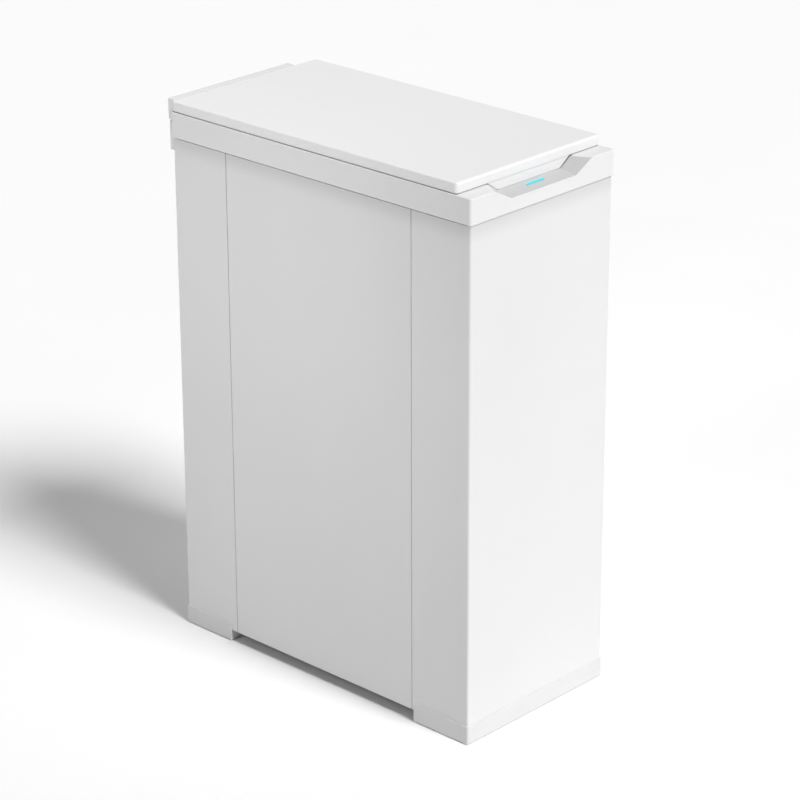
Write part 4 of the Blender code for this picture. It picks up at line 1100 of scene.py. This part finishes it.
def make_press_plate_details():
    """Round studs under the press plate and stiffening beads on top of it."""
    low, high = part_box("press_plate")
    middle = (low.y + high.y) / 2
    studs = []
    for column in range(-2, 3):
        for row in range(-4, 5):
            place = pointing((column * STUD_PITCH, middle + row * STUD_PITCH, low.z), (0, 0, -1))
            studs.append(place)
    stud = turned("stud", [(9 * MM, -0.2 * MM), (9 * MM, 0.1 * MM), (8.4 * MM, 0.6 * MM), (6 * MM, 0.8 * MM),
                           (0.5 * MM, 0.8 * MM)], Matrix(), 28)
    finish_piece(copies("press_plate_studs", stud, studs), "press", "sheet_metal")
    beads = []
    for side in (-1, 1):
        for inner, outer in PLATE_BEADS:
            near, deep = sorted((side * inner, side * outer))
            beads.append(slab("bead", (near, low.y + PLATE_BEAD_END, high.z - 0.2 * MM),
                              (deep, high.y - PLATE_BEAD_END, high.z + BEAD_RISE), BEAD_CORNER, MM))
    finish_piece(gathered("press_plate_beads", beads), "press", "sheet_metal")


def make_pin_rings():
    """Circlips outside the arms, spacers between them at the knees, and brass hubs beside the gears."""
    for pin, ending, sizes in (("knee_pin", "rings", KNEE_RINGS), ("plate_pin", "circlips", PLATE_CIRCLIP),
                               ("arm_shaft", "circlips", SHAFT_CIRCLIP)):
        for end in ("front", "rear"):
            body = "press" if pin == "plate_pin" else end + "_upper"
            make_rings(f"{end}_{pin}", f"{end}_{pin}_{ending}", body, sizes)
    for end in ("front", "rear"):
        make_rings(end + "_arm_shaft", end + "_gear_hubs", end + "_upper", GEAR_HUB, HUB_BORE, "brass")


def make_rings(pin, name, body, sizes, bore=PIN_BORE, slot="steel"):
    """The same rings at both ends of a pin."""
    centre, _ = round_of(pin)
    rings = []
    for side in (-1, 1):
        for x, radius, thickness in sizes:
            place = pointing((side * x, centre.y, centre.z), (side, 0, 0))
            rings.append(washer("ring", place, bore, radius, thickness))
    finish_piece(gathered(name, rings), body, slot)


def make_motor():
    """Drawn motor can with a stepped end bell, cooling slots and a terminal block."""
    low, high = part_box("press_motor")
    centre = (low + high) / 2
    radius = (high.z - low.z) / 2
    length = high.x - low.x
    profile = [(radius * 0.2, 0), (radius * 0.94, 0), (radius, 0.8 * MM), (radius, length * 0.62),
               (radius * 0.96, length * 0.64), (radius * 0.96, length * 0.68), (radius, length * 0.7),
               (radius, length * 0.9), (radius * 0.93, length * 0.95), (radius * 0.5, length * 0.95),
               (radius * 0.46, length), (radius * 0.1, length)]
    place = pointing((low.x, centre.y, centre.z), (1, 0, 0))
    can = turned("motor_can", profile, place, 48)
    slots = []
    for k in range(MOTOR_SLOTS):
        angle = 2 * math.pi * (k + 0.5) / MOTOR_SLOTS
        turn = place @ Matrix.Rotation(angle, 4, "Z")
        slot = slab("slot", (radius - 1.2 * MM, -2.4 * MM, length * 0.74),
                    (radius + MM, 2.4 * MM, length * 0.86))
        slot.data.transform(turn)
        slots.append(slot)
    carve(can, *slots)
    finish_piece(can, "lid", "steel", ["press_motor"])
    block = slab("motor_terminals", (high.x - 9 * MM, centre.y - 5 * MM, low.z - 2.5 * MM),
                 (high.x - 1 * MM, centre.y + 5 * MM, low.z + 3 * MM))
    finish_piece(soften(block, 0.8 * MM), "lid", "dark_plastic")


def make_gearbox():
    """Ribs and screws on the gearbox's free side."""
    low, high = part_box("gearbox")
    ribs = []
    for k in range(GEARBOX_RIBS):
        y = low.y + (high.y - low.y) * (k + 1) / (GEARBOX_RIBS + 1)
        rib = slab("rib", (low.x + 2 * MM, y - MM, low.z - 1.4 * MM), (high.x - 2 * MM, y + MM, low.z + MM))
        ribs.append(settle(soften(rib, 0.4 * MM, 2)))
    finish_piece(gathered("gearbox_ribs", ribs), "lid", "dark_plastic")
    inset = GEARBOX_INSET
    places = [pointing((high.x, y, z), (1, 0, 0)) for y in (low.y + inset, high.y - inset)
              for z in (low.z + inset, high.z - inset)]
    screws("gearbox_screws", places, GEARBOX_SCREW, "lid")


# ---- electrics

def make_board_parts():
    """Relay, chips, capacitors and a connector on the control board."""
    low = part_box("control_board")[0]
    face = low.y
    blocks = []
    for x, z, wide, tall, deep in BOARD_PARTS:
        x0 = x * MM
        z0 = low.z + z * MM
        part = slab("part", (x0 - wide * MM / 2, face - deep * MM, z0 - tall * MM / 2),
                    (x0 + wide * MM / 2, face + BOARD_SINK, z0 + tall * MM / 2))
        blocks.append(settle(soften(part, 0.4 * MM, 2)))
    finish_piece(gathered("board_chips", blocks), "housing", "dark_plastic")
    cans = []
    for k in range(CAN_COUNT):
        place = pointing((CAN_FIRST_X - k * CAN_PITCH, face + BOARD_SINK, low.z + CAN_LEVEL), (0, -1, 0))
        profile = [(3.6 * MM, 0), (3.6 * MM, 5.4 * MM), (3.1 * MM, 6.0 * MM), (0.4 * MM, 6.0 * MM)]
        cans.append(turned("can", profile, place, 20))
    finish_piece(gathered("board_capacitors", cans), "housing", "steel")


def make_supply_cover():
    """Vent louvres and screws on the power supply's case."""
    low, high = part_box("power_supply")
    louvres = []
    for k in range(LOUVRE_COUNT):
        z = low.z + LOUVRE_BOTTOM + k * LOUVRE_PITCH
        louvre = slab("louvre", (low.x + LOUVRE_INSET, high.y - LOUVRE_SINK, z),
                      (high.x - LOUVRE_INSET, high.y + LOUVRE_RISE, z + LOUVRE_TALL))
        louvres.append(settle(soften(louvre, 0.9 * MM)))
    finish_piece(gathered("supply_louvres", louvres), "housing", "sheet_metal")
    inset = SUPPLY_INSET
    places = [pointing((x, high.y, z), (0, 1, 0)) for x in (low.x + inset, high.x - inset)
              for z in (low.z + inset, high.z - inset)]
    screws("supply_screws", places, SUPPLY_SCREW, "housing")


def make_filter_frame():
    """White cartridge frame round the charcoal block."""
    low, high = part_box("charcoal_filter")
    frame_body = slab("filter_frame", (low.x - FILTER_BORDER, high.y - 6 * MM, low.z - FILTER_BORDER),
                      (high.x + FILTER_BORDER, high.y + 1.0 * MM, high.z + FILTER_BORDER))
    window = slab("window", (low.x + FILTER_WINDOW, low.y, low.z + FILTER_WINDOW),
                  (high.x - FILTER_WINDOW, FAR, high.z - FILTER_WINDOW))
    carve(frame_body, window)
    finish_piece(soften(frame_body, 0.6 * MM), "housing", "white_plastic")


# ---- all of it

def dress_node(node, look=None, steps=2):
    """Keep a CAD node, with soft edges and its detailed material."""
    obj = NODES[node]
    slot = SLOT_OF[node]
    paint(obj, look or slot)
    weld = obj.modifiers.new("weld", "WELD")
    weld.merge_threshold = 0.00001
    soften(obj, EDGE_WIDTHS.get(node, USUAL_EDGE) * MM, steps)
    weigh_normals(obj)
    DRESSED.add(node)
    return obj


def main():
    bpy.context.scene.view_settings.view_transform = "Standard"
    make_camera()
    make_lights()
    make_world()
    make_floor()
    for make in (make_shells, make_side_panels, make_feet, make_base_beads, make_collar, make_pocket,
                 make_hinge_plates, make_back, make_lid, make_bin_details, make_press_plate_details,
                 make_pin_rings, make_motor, make_gearbox, make_board_parts, make_supply_cover,
                 make_filter_frame):
        make()
    for node in NODES:
        if node not in REPLACED and node not in DRESSED:
            dress_node(node)


main()
